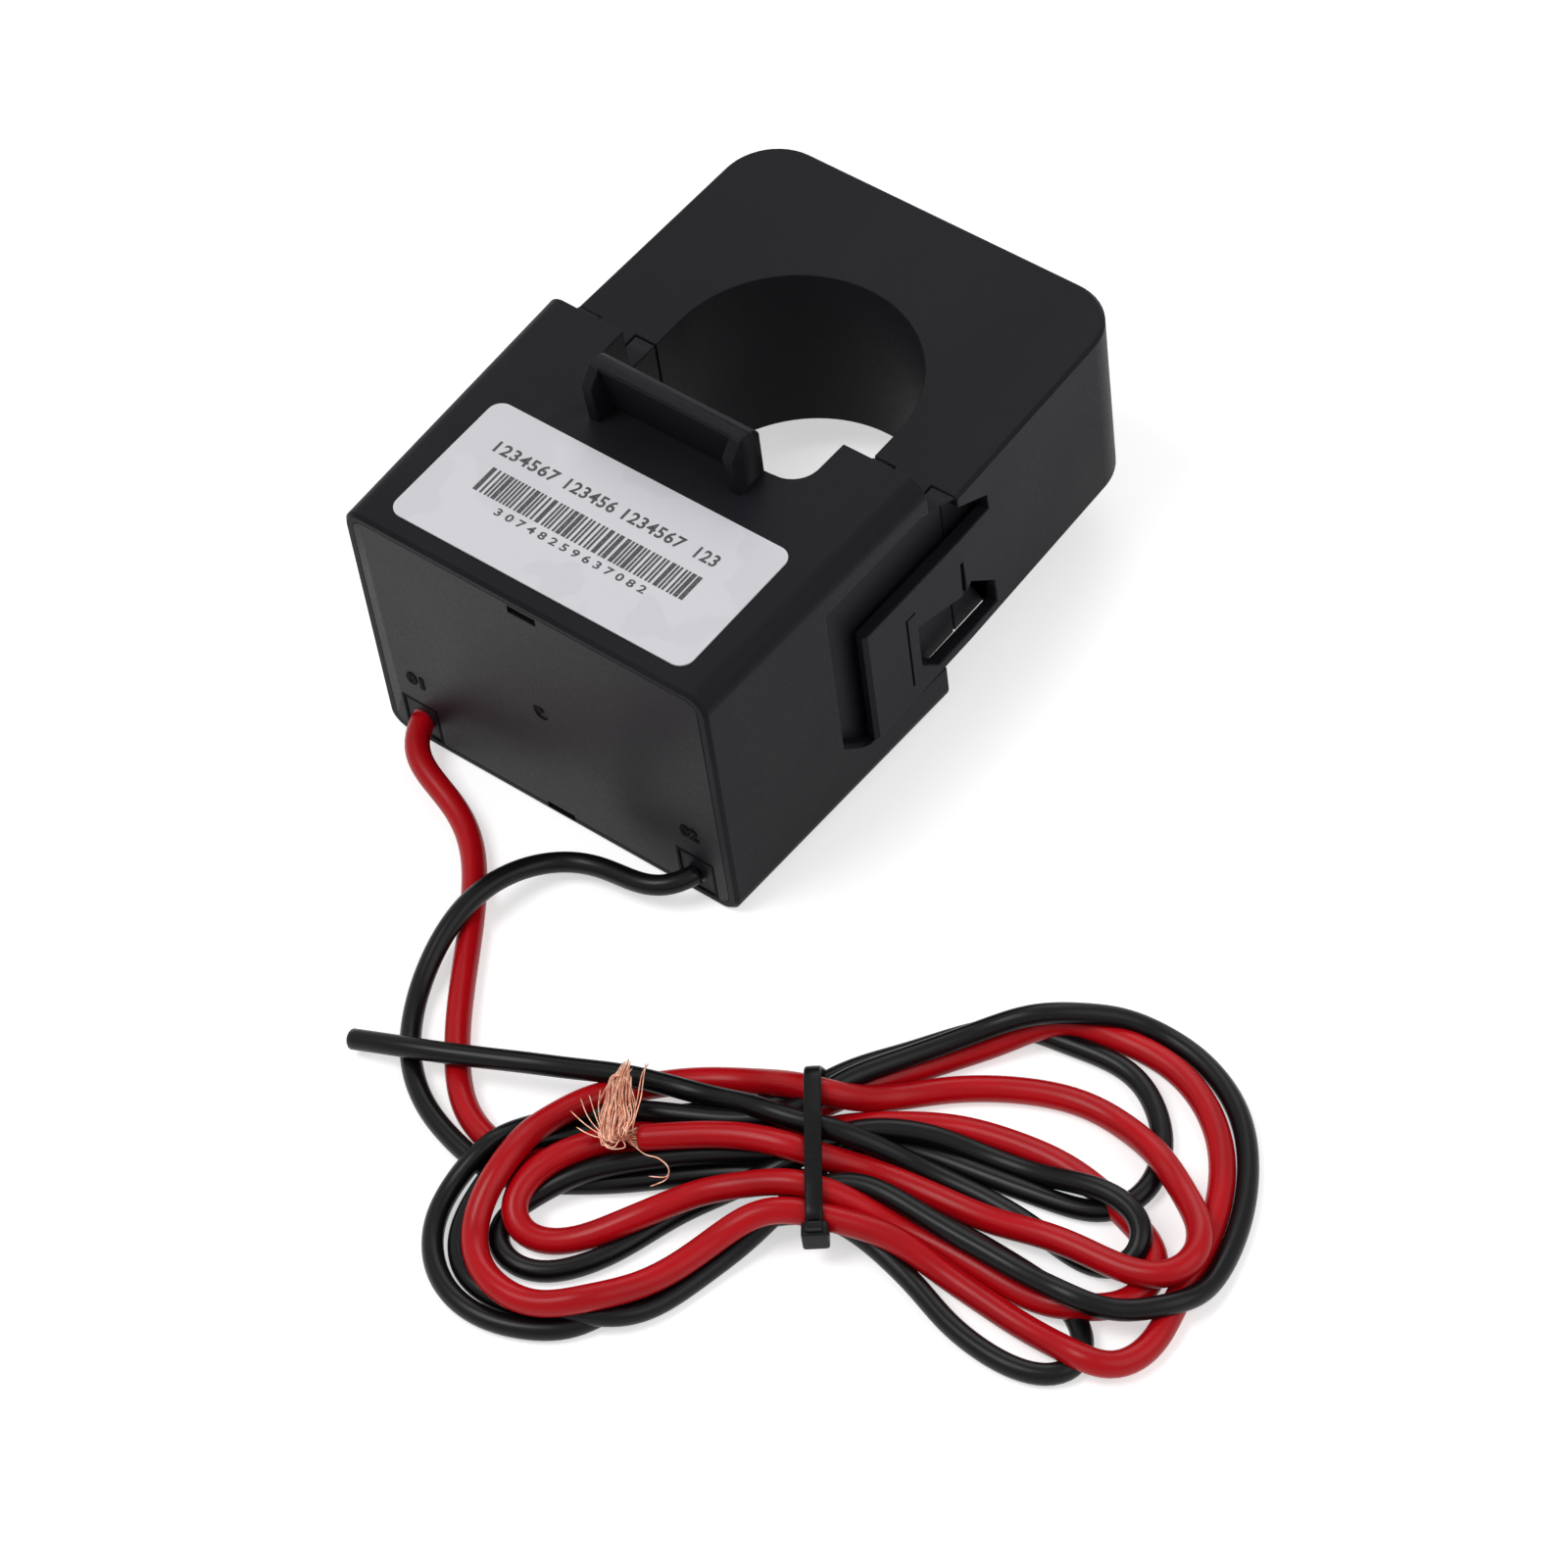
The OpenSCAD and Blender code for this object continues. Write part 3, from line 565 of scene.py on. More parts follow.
def soft_pvc(board: Board, colour: Colour, rough: float = 0.29) -> None:
    """Soft extruded PVC of a lead: glossy, with faint draw lines and a slow wave of tone."""
    lines = board.noise(board.uv("along", (26.0, 40.0, 1.0)), 1.0, 3.0, 0.6)
    tone = board.noise(board.uv("along", (3.0, 60.0, 1.0)), 1.0)
    board.tint(tone, 0.3, 0.7, shaded(colour, 0.86), colour)
    board.main(Roughness=board.ramp(lines, 0.3, 0.7, rough - 0.05, rough + 0.07),
               Normal=board.bump(lines, 0.00006, 0.5), Specular_IOR_Level=0.2)


def moulded(board: Board, colour: Colour, rough: float, gloss: float, grain: float = 2600.0) -> None:
    """Matt moulded ABS or nylon: a fine spark grain, slow clouds of tone, and soft gloss."""
    here = board.place()
    fine = board.noise(here, grain, 3.0, 0.6)
    cloud = board.noise(here, 38.0, 3.0, 0.55)
    streak = board.noise(board.place((60.0, 9.0, 60.0)), 1.0)
    tone = board.math("ADD", board.math("MULTIPLY", cloud, 0.7), board.math("MULTIPLY", streak, 0.3))
    board.tint(tone, 0.35, 0.65, shaded(colour, 0.84), shaded(colour, 1.12))
    board.main(Roughness=board.ramp(board.math("ADD", fine, cloud), 0.7, 1.3, rough - 0.06, rough + 0.08),
               Normal=board.bump(fine, 0.000035, 0.55), Specular_IOR_Level=gloss)


def label_film(board: Board, colour: Colour) -> None:
    """Silver-grey printed film with a satin face and faint smudges."""
    fibre = board.noise(board.place((3000.0, 900.0, 900.0)), 1.0)
    board.tint(board.noise(board.place(), 120.0, 2.0, 0.4), 0.5, 0.54, colour, tuple(c - 5 for c in colour))
    board.main(Roughness=board.ramp(fibre, 0.3, 0.7, 0.4, 0.52),
               Normal=board.bump(fibre, 0.00001, 0.3), Specular_IOR_Level=0.4)


def print_ink(board: Board, colour: Colour) -> None:
    """Thermal print: dark grey, a little broken at its edges."""
    worn = board.noise(board.place(), 2400.0, 2.0, 0.6)
    board.tint(worn, 0.5, 0.72, colour, tuple(c + 46 for c in colour))
    board.main(Roughness=board.ramp(worn, 0.3, 0.7, 0.5, 0.65))


def wound_steel(board: Board, layer: float) -> None:
    """A wound core of silicon steel strip: layer lines along the larger of |x| and |y|, dull sheen."""
    ring = board.math("MAXIMUM", *(board.math("ABSOLUTE", board.axis(k)) for k in range(2)))
    line = board.math("SINE", board.math("MULTIPLY", ring, 2 * math.pi / layer))
    rust = board.noise(board.place(), 160.0, 4.0, 0.6)
    colour = board.mix(board.ramp(line, -1.0, 1.0), linear(92, 92, 96), linear(150, 150, 154))
    board.main(Base_Color=board.mix(board.ramp(rust, 0.55, 0.8, 0.0, 0.5), colour, linear(104, 92, 84)),
               Roughness=board.ramp(rust, 0.3, 0.7, 0.34, 0.5), Metallic=0.9,
               Normal=board.bump(line, 0.00002, 0.5))


def spring_steel(board: Board) -> None:
    """Cold-rolled spring strip with fine draw lines."""
    drawn = board.noise(board.place((700.0, 700.0, 9000.0)), 1.0, 3.0, 0.6)
    board.main(Base_Color=board.mix(drawn, linear(150, 152, 156), linear(186, 188, 190)), Metallic=1.0,
               Roughness=board.ramp(drawn, 0.3, 0.7, 0.22, 0.4), Normal=board.bump(drawn, 0.00001, 0.4))


def wound_wire(board: Board, pitch: float) -> None:
    """Enamelled copper wire in close turns: a round wave across x, warm and glossy, with painted shade
    darkening the grooves between turns.
    """
    turn = board.math("SINE", board.math("MULTIPLY", board.axis(0), 2 * math.pi / pitch))
    tone = board.noise(board.place((90.0, 600.0, 600.0)), 1.0, 3.0)
    warm = board.mix(board.ramp(tone, 0.3, 0.7), linear(138, 70, 34), linear(176, 98, 50))
    # The dark colour in the troughs of the wave is painted shade in the grooves between the turns.
    board.main(Base_Color=board.mix(board.ramp(turn, -1.0, -0.3), linear(70, 34, 18), warm), Metallic=0.6,
               Roughness=board.ramp(tone, 0.3, 0.7, 0.24, 0.36), Normal=board.bump(turn, 0.0002, 0.8))


def soft_wrap(board: Board, colour: Colour, scale: float, rough: float, depth: float) -> None:
    """Tape, sleeve or pad: a cell pattern over a slow noise, as a weave or foam has."""
    here = board.place()
    cell = board.node("TexVoronoi", Vector=here, Scale=scale).outputs[0]
    board.tint(board.noise(here, scale / 14, 3.0), 0.3, 0.7, shaded(colour, 0.8), colour)
    board.main(Roughness=board.ramp(cell, 0.0, 0.7, rough - 0.08, rough + 0.08),
               Normal=board.bump(cell, depth, 0.6))


def bare_copper(board: Board, dull: Colour, bright: Colour) -> None:
    """Fine bare copper wire: bright, warm, with duller patches along it."""
    tone = board.noise(board.place(), 900.0, 3.0, 0.6)
    board.tint(tone, 0.35, 0.65, dull, bright)
    board.main(Metallic=0.75, Roughness=board.ramp(tone, 0.3, 0.7, 0.3, 0.45))


@dataclass(frozen=True)
class Finish:
    """A named material: what makes it, from which values, and the nodes that it covers."""

    name: str
    maker: Callable[..., None]
    values: tuple = ()
    nodes: tuple[str, ...] = ()

    def build(self) -> Material:
        """Make the material and give it to its nodes."""
        board = Board(self.name)
        self.maker(board, *self.values)
        for name in self.nodes:
            slots = frame["nodes"][name].data.materials
            if not slots:
                slots.append(board.material)
            for i in range(len(slots)):
                slots[i] = board.material
        return board.material


FINISHES: dict[str, Finish] = {
    "housing": Finish("housing plastic", moulded, ((28, 28, 33), 0.46, 0.075)),
    "cover": Finish("cover plastic", moulded, ((26, 25, 30), 0.37, 0.115, 2200.0)),
    "bush": Finish("bush plastic", moulded, ((27, 26, 31), 0.42, 0.1, 1800.0),
                   ("outlet_bush_red", "outlet_bush_black")),
    "mark": Finish("moulded mark and painted seam shade", moulded, ((8, 8, 9), 0.55, 0.04, 1800.0)),
    "label_film": Finish("label film", label_film, ((216, 215, 220),), ("label",)),
    "core_steel": Finish("wound core steel", wound_steel, (0.0003,), ("upper_core", "lower_core")),
    "spring_steel": Finish("spring steel", spring_steel, (), ("core_spring_left", "core_spring_right")),
    "bobbin_nylon": Finish("bobbin nylon", moulded, ((214, 206, 184), 0.42, 0.45, 900.0), ("bobbin",)),
    "winding_wire": Finish("enamelled winding", wound_wire, (0.0009,), ("secondary_winding",)),
    "tape": Finish("polyester tape", soft_wrap, ((206, 170, 62), 700.0, 0.3, 0.00001), ("winding_tape",)),
    "pad": Finish("closed foam", soft_wrap, ((52, 52, 56), 1600.0, 0.85, 0.0002), ("coil_pad",)),
    "red_tail": Finish("red tail jacket", soft_wrap, ((188, 10, 22), 900.0, 0.36, 0.00001),
                       ("red_lead_tail",)),
    "black_tail": Finish("black tail jacket", soft_wrap, ((20, 20, 22), 900.0, 0.36, 0.00001),
                         ("black_lead_tail",)),
    "sleeve": Finish("shrunk sleeve", soft_wrap, ((40, 40, 44), 1100.0, 0.5, 0.00002),
                     ("splice_sleeve_red", "splice_sleeve_black")),
    "tie_nylon": Finish("tie nylon", moulded, ((11, 11, 12), 0.3, 0.16, 1200.0)),
    "copper": Finish("bare copper", bare_copper, ((214, 140, 112), (250, 204, 178))),
    "ink": Finish("print ink", print_ink, ((58, 58, 62),)),
    "red_pvc": Finish("red jacket", soft_pvc, ((196, 10, 22),)),
    "black_pvc": Finish("black jacket", soft_pvc, ((15, 15, 17),)),
}


# ---------------------------------------------------------------- small pieces


TURN_UP: Point = (42.2, -93.8, -13.2)
STRAYS: tuple[tuple[Point, ...], ...] = (
    ((44.0, -92.8, -13.6), (46.9, -93.6, -13.1), (48.7, -93.2, -12.9), (50.6, -93.6, -12.9),
     (51.5, -95.1, -12.9), (50.5, -97.1, -12.9)),
    ((43.8, -92.8, -13.5), (46.8, -93.7, -12.9), (48.8, -93.3, -12.8), (50.7, -93.7, -12.8),
     (51.3, -94.9, -12.8), (49.4, -96.0, -12.9)),
    ((43.2, -91.4, -13.2), (42.0, -88.0, -11.6), (40.8, -86.0, -11.3), (39.5, -83.8, -11.1)),
    ((43.0, -91.2, -13.0), (41.6, -88.2, -11.8), (39.9, -85.2, -11.7), (39.0, -82.9, -12.6)),
    (TURN_UP, (40.7, -94.5, -12.8), (38.2, -94.6, -12.3), (35.7, -94.2, -12.0)),
    (TURN_UP, (40.6, -94.3, -12.7), (38.0, -93.6, -12.2), (35.5, -92.0, -12.0)),
    (TURN_UP, (40.9, -94.9, -12.8), (39.3, -95.4, -12.6), (37.6, -95.5, -12.4)),
    (TURN_UP, (40.2, -93.6, -12.6), (38.4, -92.0, -12.1), (36.8, -89.6, -11.9)),
    (TURN_UP, (40.4, -93.9, -12.6), (38.6, -92.9, -12.0), (36.3, -91.2, -11.6)),
    ((42.6, -92.9, -13.2), (41.8, -94.9, -12.6), (40.1, -93.6, -12.2), (39.4, -91.2, -11.6)),
    ((42.9, -93.0, -13.2), (43.2, -95.2, -12.7), (41.2, -95.2, -12.3), (39.9, -92.8, -11.7)),
    ((43.1, -93.2, -13.0), (44.4, -94.4, -12.7), (42.6, -95.7, -12.5), (40.3, -94.3, -12.0)))


@dataclass
class CopperStrands:
    """The bare end of the red lead: fine strands that splay, turn up and thin out."""

    start: np.ndarray
    way: np.ndarray
    count: int = 60
    radius: float = 0.09
    core: float = 1.25
    seed: int = 11
    golden: float = 2.39996
    tip: float = 0.33
    tilt: Point = (0.31, 0.24, 0.92)

    def routes(self) -> np.ndarray:
        """Give seven points in mm for each strand of the bundle.

        Strand i sits in the cut end at sqrt((i + 0.5) / n) of the core's radius and at i
        golden angles. Its place across the end sets how wide it turns.

        Returns:
            A (count, 7, 3) array.
        """
        number = np.arange(self.count)
        chance = np.random.default_rng(self.seed)
        share = np.sqrt((number + 0.5) / self.count)
        over = share * np.cos(self.golden * number)
        high = share * np.sin(self.golden * number)
        side = np.array([self.way[1], -self.way[0], 0.0])
        side /= -np.linalg.norm(side)
        up = np.array([0.0, 0.0, 1.0])
        across = np.array([0.83, 0.55, 0.0])
        rise = np.array([-0.45, 0.89, 0.0])
        def spread(mid: Point, wide: float, tall: float, loose: float = 0.2) -> np.ndarray:
            """Place the strands round a middle, over a width and a height."""
            return (np.array(mid) + over[:, None] * wide * across + high[:, None] * tall * up
                    + chance.normal(0.0, loose, (self.count, 3)) * [wide, wide, 0.5 * tall])
        ends = self.start + self.core * (over[:, None] * side + high[:, None] * up)
        turn = (np.array([42.1, -93.6, -13.2]) + over[:, None] * np.array([1.0, 1.4, 0.0])
                + high[:, None] * np.array([0.5, -0.8, 0.5]) + chance.normal(0.0, 0.22, (self.count, 3)))
        top = spread((37.0, -84.2, -11.8), 0.75, 0.4, 0.3)
        top -= rise * chance.uniform(-0.4, 4.2, (self.count, 1)) * 0.9
        return np.stack([ends - 2.0 * self.way, ends + 0.5 * self.way, turn,
                         spread((41.0, -91.7, -12.5), 1.95, 0.9), spread((39.9, -89.9, -12.0), 1.75, 0.8),
                         spread((38.1, -87.1, -11.8), 1.3, 0.6), top], axis=1)

    def build(self, material: Material) -> Piece:
        """Make every strand as a thin tube, all in one mesh.

        A point of a strand is p(v) + r (cos u * n1 + sin u * n2), with r smaller at its tip.

        Args:
            material: the finish of the wire.

        Returns:
            The strands.
        """
        long, sides = 34, 6
        every = [*self.routes(), *(np.array([self.start, *route], float) for route in STRAYS)]
        paths = np.stack([self.even(route, long) for route in every])
        tangent = np.gradient(paths, axis=1)
        tangent /= np.linalg.norm(tangent, axis=2)[..., None]
        one = np.cross(tangent, np.array(self.tilt))
        one /= np.linalg.norm(one, axis=2)[..., None]
        two = np.cross(tangent, one)
        turn = np.arange(sides) * 2 * math.pi / sides
        thin = np.where(np.arange(long) == long - 1, self.tip, 1.0)[None, :, None, None] * self.radius
        points = (paths[:, :, None] + thin * (np.cos(turn)[:, None] * one[:, :, None]
                                              + np.sin(turn)[:, None] * two[:, :, None]))
        base = np.arange(len(paths))[:, None, None] * long * sides
        walls = (grid_faces(long, sides)[None] + base).reshape(-1, 4)[:, ::-1]
        caps = [cap for b in base.ravel() for cap in
                (range(b, b + sides), range(b + long * sides - 1, b + (long - 1) * sides - 1, -1))]
        piece = put_mesh("strands", points.reshape(-1, 3) * MM, walls.tolist() + caps)
        dress(piece, material)
        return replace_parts(piece, "copper_strands")

    def even(self, route: np.ndarray, count: int) -> np.ndarray:
        """Take a number of points evenly along the smooth curve through a route."""
        fine = resample(route, 0.1)
        return take(fine, np.arange(len(fine)), np.linspace(0.0, len(fine) - 1.0, count))


@dataclass
class CableTie:
    """A nylon tie pulled tight round the waist of the hank, with its head at the near side."""

    hank: TiedHank
    width: float = 2.2
    thick: float = 1.1
    head: Point = (3.4, 2.1, 3.4)
    stub: Point = (2.1, 1.0, 1.6)
    sharp: float = 0.22
    slack: float = 0.04
    gap: float = 0.1
    floor_gap: float = 0.03

    def outline(self) -> tuple[np.ndarray, np.ndarray]:
        """Find where the strap lies: the hull of the round leads in the plane of the tie.

        In a direction n(a) the hull is at the lead for which c.n + r is greatest, at c + r n.

        Returns:
            Points (across, height) in mm evenly round the hull, and the outward directions.
        """
        middles, radii = [], []
        for side, path in self.hank.laid.items():
            along, across = self.hank.at_tie(path / MM)
            cuts = np.nonzero((along[:-1] * along[1:] <= 0) & (np.abs(across[:-1]) < self.hank.strap_half))[0]
            middles += [(across[i], path[i, 2] / MM) for i in cuts]
            radii += [self.hank.sizes[side] / 2] * len(cuts)
        middles, radii = np.array(middles), np.array(radii)
        LOG.info("tie round %d runs", len(radii))
        angle = np.linspace(0.0, 2 * math.pi, 721)[:-1]
        way = np.column_stack([np.cos(angle), np.sin(angle)])
        best = np.argmax(way @ middles.T + radii, axis=1)
        hull = middles[best] + (radii[best, None] + self.slack) * way
        ring = np.vstack([hull, hull[:1]])
        run = run_of(ring)
        even = take(ring, run, np.linspace(0.0, run[-1], 181)[:-1])
        for _ in range(2):
            even = (np.roll(even, 1, axis=0) + 2 * even + np.roll(even, -1, axis=0)) / 4
        way = np.roll(even, -1, axis=0) - np.roll(even, 1, axis=0)
        way = np.column_stack([way[:, 1], -way[:, 0]]) / np.linalg.norm(way, axis=1)[:, None]
        return even, way

    def to_row(self, across: np.ndarray, along: np.ndarray, height: np.ndarray) -> np.ndarray:
        """Turn places in the plane of the tie into metres in the row frame."""
        flat = (np.array([self.hank.tie_x, self.hank.tie_y])
                + across[..., None] * np.array(self.hank.tie_way)
                + along[..., None] * np.array(self.hank.run_way))
        return np.concatenate([flat, height[..., None]], axis=-1) * MM

    def strap(self) -> Shape:
        """Carry a rounded flat section round the hull.

        The section is (w |cos u|^0.35, t |sin u|^0.5) with the signs of cos and sin.

        Returns:
            Points in metres and faces.
        """
        hull, way = self.outline()
        angle = np.arange(20) * 2 * math.pi / 20
        wide = self.width / 2 * np.sign(np.cos(angle)) * np.abs(np.cos(angle)) ** 0.35
        tall = self.thick / 2 * (1 + np.sign(np.sin(angle)) * np.abs(np.sin(angle)) ** 0.5)
        flat = hull[:, None] + tall[None, :, None] * way[:, None]
        points = self.to_row(flat[..., 0], np.broadcast_to(wide, flat.shape[:2]), flat[..., 1])
        count, sides = flat.shape[:2]
        points[..., 2] = np.maximum(points[..., 2], (TABLE_Z + self.floor_gap) * MM)
        faces = grid_faces(count + 1, sides)
        return points.reshape(-1, 3), (faces % (count * sides)).tolist()

    def block(self, middle: Point, size: Point) -> Shape:
        """Make a soft-cornered block as a superellipsoid.

        Along, across and height are s (|cos v|^e |cos u|^e, |cos v|^e |sin u|^e, |sin v|^e)
        with the signs of the plain terms.

        Args:
            middle: its middle as across, along and height in mm.
            size: its size along, across and up in mm.

        Returns:
            Points in metres and faces.
        """
        def soft(value: np.ndarray) -> np.ndarray:
            """Raise a value to the exponent, with its sign kept."""
            return np.sign(value) * np.abs(value) ** self.sharp
        rings, sides = 25, 32
        rise = np.linspace(-math.pi / 2, math.pi / 2, rings)[:, None]
        turn = (np.arange(sides) * 2 * math.pi / sides)[None]
        along = middle[1] + size[0] / 2 * soft(np.cos(rise)) * soft(np.cos(turn))
        across = middle[0] + size[1] / 2 * soft(np.cos(rise)) * soft(np.sin(turn))
        height = middle[2] + size[2] / 2 * soft(np.sin(rise)) * np.ones_like(turn)
        points = self.to_row(across, along, height)
        return points.reshape(-1, 3), grid_faces(rings, sides)[:, ::-1].tolist()

    def build(self, material: Material) -> Piece:
        """Make the strap, its head and the stub of its cut tail in one mesh.

        Args:
            material: the finish of the nylon.

        Returns:
            The tie.
        """
        hull, _ = self.outline()
        edge = float(hull[:, 0].max())
        level = max(float(hull[np.argmax(hull[:, 0]), 1]), TABLE_Z + self.gap + self.head[2] / 2)
        middle = edge + self.gap + self.head[1] / 2
        parts = [self.strap(),
                 self.block((middle, 0.0, level), self.head),
                 self.block((middle + 0.2, 0.0, level + self.head[2] / 2 + 0.3), self.stub)]
        piece = put_mesh("tie", *joined(parts))
        dress(piece, material)
        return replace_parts(piece, "cable_tie_strap", "cable_tie_head")


def glyphs(words: str, bold: float = 0.0, deep: bool = False, room: float = 1.0) -> Shape:
    """Turn digits into a mesh that fills a box from 0 to 1, flat or one unit deep.

    Args:
        words: the digits.
        bold: how far the strokes are thickened, in units of the letter height.
        deep: whether the letters have sides and a depth.
        room: how wide the letters are set, 1 being plain.

    Returns:
        An (n, 3) array and faces.
    """
    curve = bpy.data.curves.new("glyphs", "FONT")
    curve.body = words
    curve.space_character = room
    curve.resolution_u = 3
    curve.offset = bold
    curve.extrude = 0.5 if deep else 0.0
    holder = put("glyphs", curve)
    bpy.context.view_layer.update()
    mesh = bpy.data.meshes.new_from_object(holder)
    points = np.empty(len(mesh.vertices) * 3)
    mesh.vertices.foreach_get("co", points)
    points = points.reshape(-1, 3)
    faces = [list(p.vertices) for p in mesh.polygons]
    bpy.data.objects.remove(holder)
    bpy.data.curves.remove(curve)
    bpy.data.meshes.remove(mesh)
    low = points.min(axis=0)
    size = np.maximum(points.max(axis=0) - low, 1e-6)
    return (points - low) / size, faces


@dataclass
class LabelPrint:
    """Plain digits and simple bars, as thin ink on the film of the label."""

    top: float = 21.8
    rise: float = 0.015
    rows: tuple[tuple[str, float, float, float, float], ...] = (
        ("1234567", -19.2, -9.0, -35.9, -33.9), ("123456", -7.5, 0.5, -35.9, -33.9),
        ("1234567", 1.9, 11.5, -35.9, -33.9), ("123", 13.6, 17.0, -35.9, -33.9),
        ("30748259637082", -12.2, 12.2, -44.15, -42.85))
    band: tuple[float, float, float, float] = (-17.2, 17.0, -42.2, -37.9)
    bars: int = 49

    def bar_boxes(self) -> Shape:
        """Give the corners of plain upright bars of one or two units across the band."""
        chance = np.random.default_rng(5)
        widths = chance.choice([1.0, 1.0, 2.0], 2 * self.bars) * np.tile([1.35, 0.8], self.bars)
        edges = np.concatenate([[0.0], np.cumsum(widths)])
        start, end, low, high = self.band
        edges = start + (end - start) * edges / edges[-2]
        left, right = edges[:-1:2], edges[1::2]
        corners = np.stack([np.column_stack([x, np.full_like(x, y)])
                            for x, y in ((left, low), (right, low), (right, high), (left, high))], axis=1)
        return corners.reshape(-1, 2), np.arange(len(left) * 4).reshape(-1, 4).tolist()

    def build(self, material: Material) -> Piece:
        """Make all the print in one thin mesh.

        Args:
            material: the ink.

        Returns:
            The print.
        """
        flats = [self.bar_boxes()]
        for words, left, right, low, high in self.rows:
            unit, faces = glyphs(words, 0.025, room=1.6 if high - low < 1.5 else 1.1)
            flats.append((np.array([left, low]) + unit[:, :2] * [right - left, high - low], faces))
        flat, faces = joined(flats)
        solid = np.column_stack([flat, np.full(len(flat), self.top + self.rise)]) * MM
        piece = put_mesh("label_print", solid, faces, smooth=False)
        dress(piece, material)
        return piece


@dataclass
class OutletMarks:
    """Two plain moulded digits over each outlet, a near-black frame line round it as painted shade of the
    seam round the bush, and the gate mark.
    """

    face_y: float = -53.8
    rise: float = 0.14
    outlet_z: float = -16.8
    frame: Point = (6.2, 7.1, 0.5)
    edge: float = 0.06
    digit_z: float = -9.8
    digit_size: tuple[float, float] = (3.0, 2.3)
    overlap: float = 0.02
    gate_at: tuple[float, float] = (-0.5, 0.4)

    def digits(self, words: str, middle: float) -> Shape:
        """Place a pair of raised digits, x across, the depth along -Y and the height in z."""
        unit, faces = glyphs(words, 0.05, deep=True)
        wide, tall = self.digit_size
        return np.column_stack([middle - wide / 2 + unit[:, 0] * wide,
                                self.face_y + self.overlap - unit[:, 2] * self.rise,
                                self.digit_z + unit[:, 1] * tall]), faces

    def line(self, middle: float) -> Shape:
        """Make the thin frame round an outlet, a rectangle carried round with a ridged section; its
        near-black mark plastic is painted shade of the seam round the bush.
        """
        wide, tall, thick = self.frame
        ring = []
        edge = self.edge
        for inset, out in ((0.0, 0.0), (edge, edge), (thick - edge, edge), (thick, 0.0)):
            x, z = wide / 2 - inset, tall / 2 - inset
            ring.append([(middle + sx * x, self.face_y - out, self.outlet_z + sz * z)
                         for sx, sz in ((-1, -1), (1, -1), (1, 1), (-1, 1))])
        return np.array(ring).reshape(-1, 3), grid_faces(4, 4).tolist()

    def gate(self) -> Shape:
        """Make the low round gate mark in the middle of the cover."""
        turn = np.arange(20) * 2 * math.pi / 20
        x, z = self.gate_at
        rings = [np.column_stack([x + r * np.cos(turn), np.full(20, self.face_y - out), z + r * np.sin(turn)])
                 for r, out in ((0.8, 0.0), (0.68, 0.07), (0.4, 0.02), (0.0, 0.0))]
        return np.vstack(rings), grid_faces(4, 20).tolist()

    def build(self, material: Material) -> Piece:
        """Make the digits, the frames and the gate mark in one mesh.

        Args:
            material: the plastic of the marks.

        Returns:
            The marks.
        """
        # The frame lines take the near-black mark plastic: painted shade of the seams round the bushes.
        points, faces = joined([self.digits("01", -23.0), self.digits("02", 23.0), self.line(-23.2),
                                self.line(23.2), self.gate()])
        piece = put_mesh("outlet_marks", points * MM, faces, smooth=False)
        dress(piece, material)
        return piece


@dataclass
class SoftenedShell:
    """A copy of a moulded shell whose free edges are rounded, as a mould leaves them."""

    name: str
    body: str
    slot: str
    radius: float = 0.22
    least_turn: float = 28.0
    least_width: float = 0.8
    segments: int = 2
    same_place: float = 0.002
    flat_turn: float = 0.6

    def broad(self, face: bmesh.types.BMFace) -> bool:
        """Tell whether a face is wide enough for its edges to be rounded: 2 area / perimeter."""
        return 2 * face.calc_area() / max(face.calc_perimeter(), 1e-9) > self.least_width * MM

    def build(self, material: Material) -> Piece:
        """Copy the shell, join its corners, mark its edges, and round the marked ones.

        Args:
            material: the plastic.

        Returns:
            The softened shell.
        """
        mesh = bpy.data.meshes.new(self.name + "_soft")
        work = bmesh.new()
        work.from_mesh(frame["nodes"][self.name].data)
        bmesh.ops.remove_doubles(work, verts=work.verts, dist=self.same_place * MM)
        bmesh.ops.dissolve_limit(work, angle_limit=math.radians(self.flat_turn), verts=work.verts,
                                 edges=work.edges)
        bmesh.ops.recalc_face_normals(work, faces=work.faces)
        layer = work.edges.layers.float.new("bevel_weight_edge")
        marked = 0
        for edge in work.edges:
            if len(edge.link_faces) != 2:
                continue
            turn = math.degrees(edge.calc_face_angle())
            edge.smooth = turn < self.least_turn
            if turn > self.least_turn and edge.is_convex and all(self.broad(f) for f in edge.link_faces):
                edge[layer] = 1.0
                edge.smooth = True
                marked += 1
        work.to_mesh(mesh)
        work.free()
        if "custom_normal" in mesh.attributes:
            mesh.attributes.remove(mesh.attributes["custom_normal"])
        mesh.polygons.foreach_set("use_smooth", [True] * len(mesh.polygons))
        mesh.materials.clear()
        piece = put(self.name + "_soft", mesh)
        bevel = piece.modifiers.new("rounded", "BEVEL")
        bevel.limit_method = "WEIGHT"
        bevel.width = self.radius * MM
        bevel.segments = self.segments
        bevel.use_clamp_overlap = False
        piece.modifiers.new("even", "WEIGHTED_NORMAL").keep_sharp = True
        dress(piece, material, self.body)
        LOG.info("%s: %d edges rounded", self.name, marked)
        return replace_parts(piece, self.name)


SHELLS: tuple[SoftenedShell, ...] = (
    SoftenedShell("lower_housing", BODY_LOWER, "housing"),
    SoftenedShell("end_cover", BODY_LOWER, "cover", 0.12),
    SoftenedShell("upper_housing", BODY_UPPER, "housing"),
    SoftenedShell("upper_back_cover", BODY_UPPER, "cover", 0.12),
)


# ---------------------------------------------------------------- studio


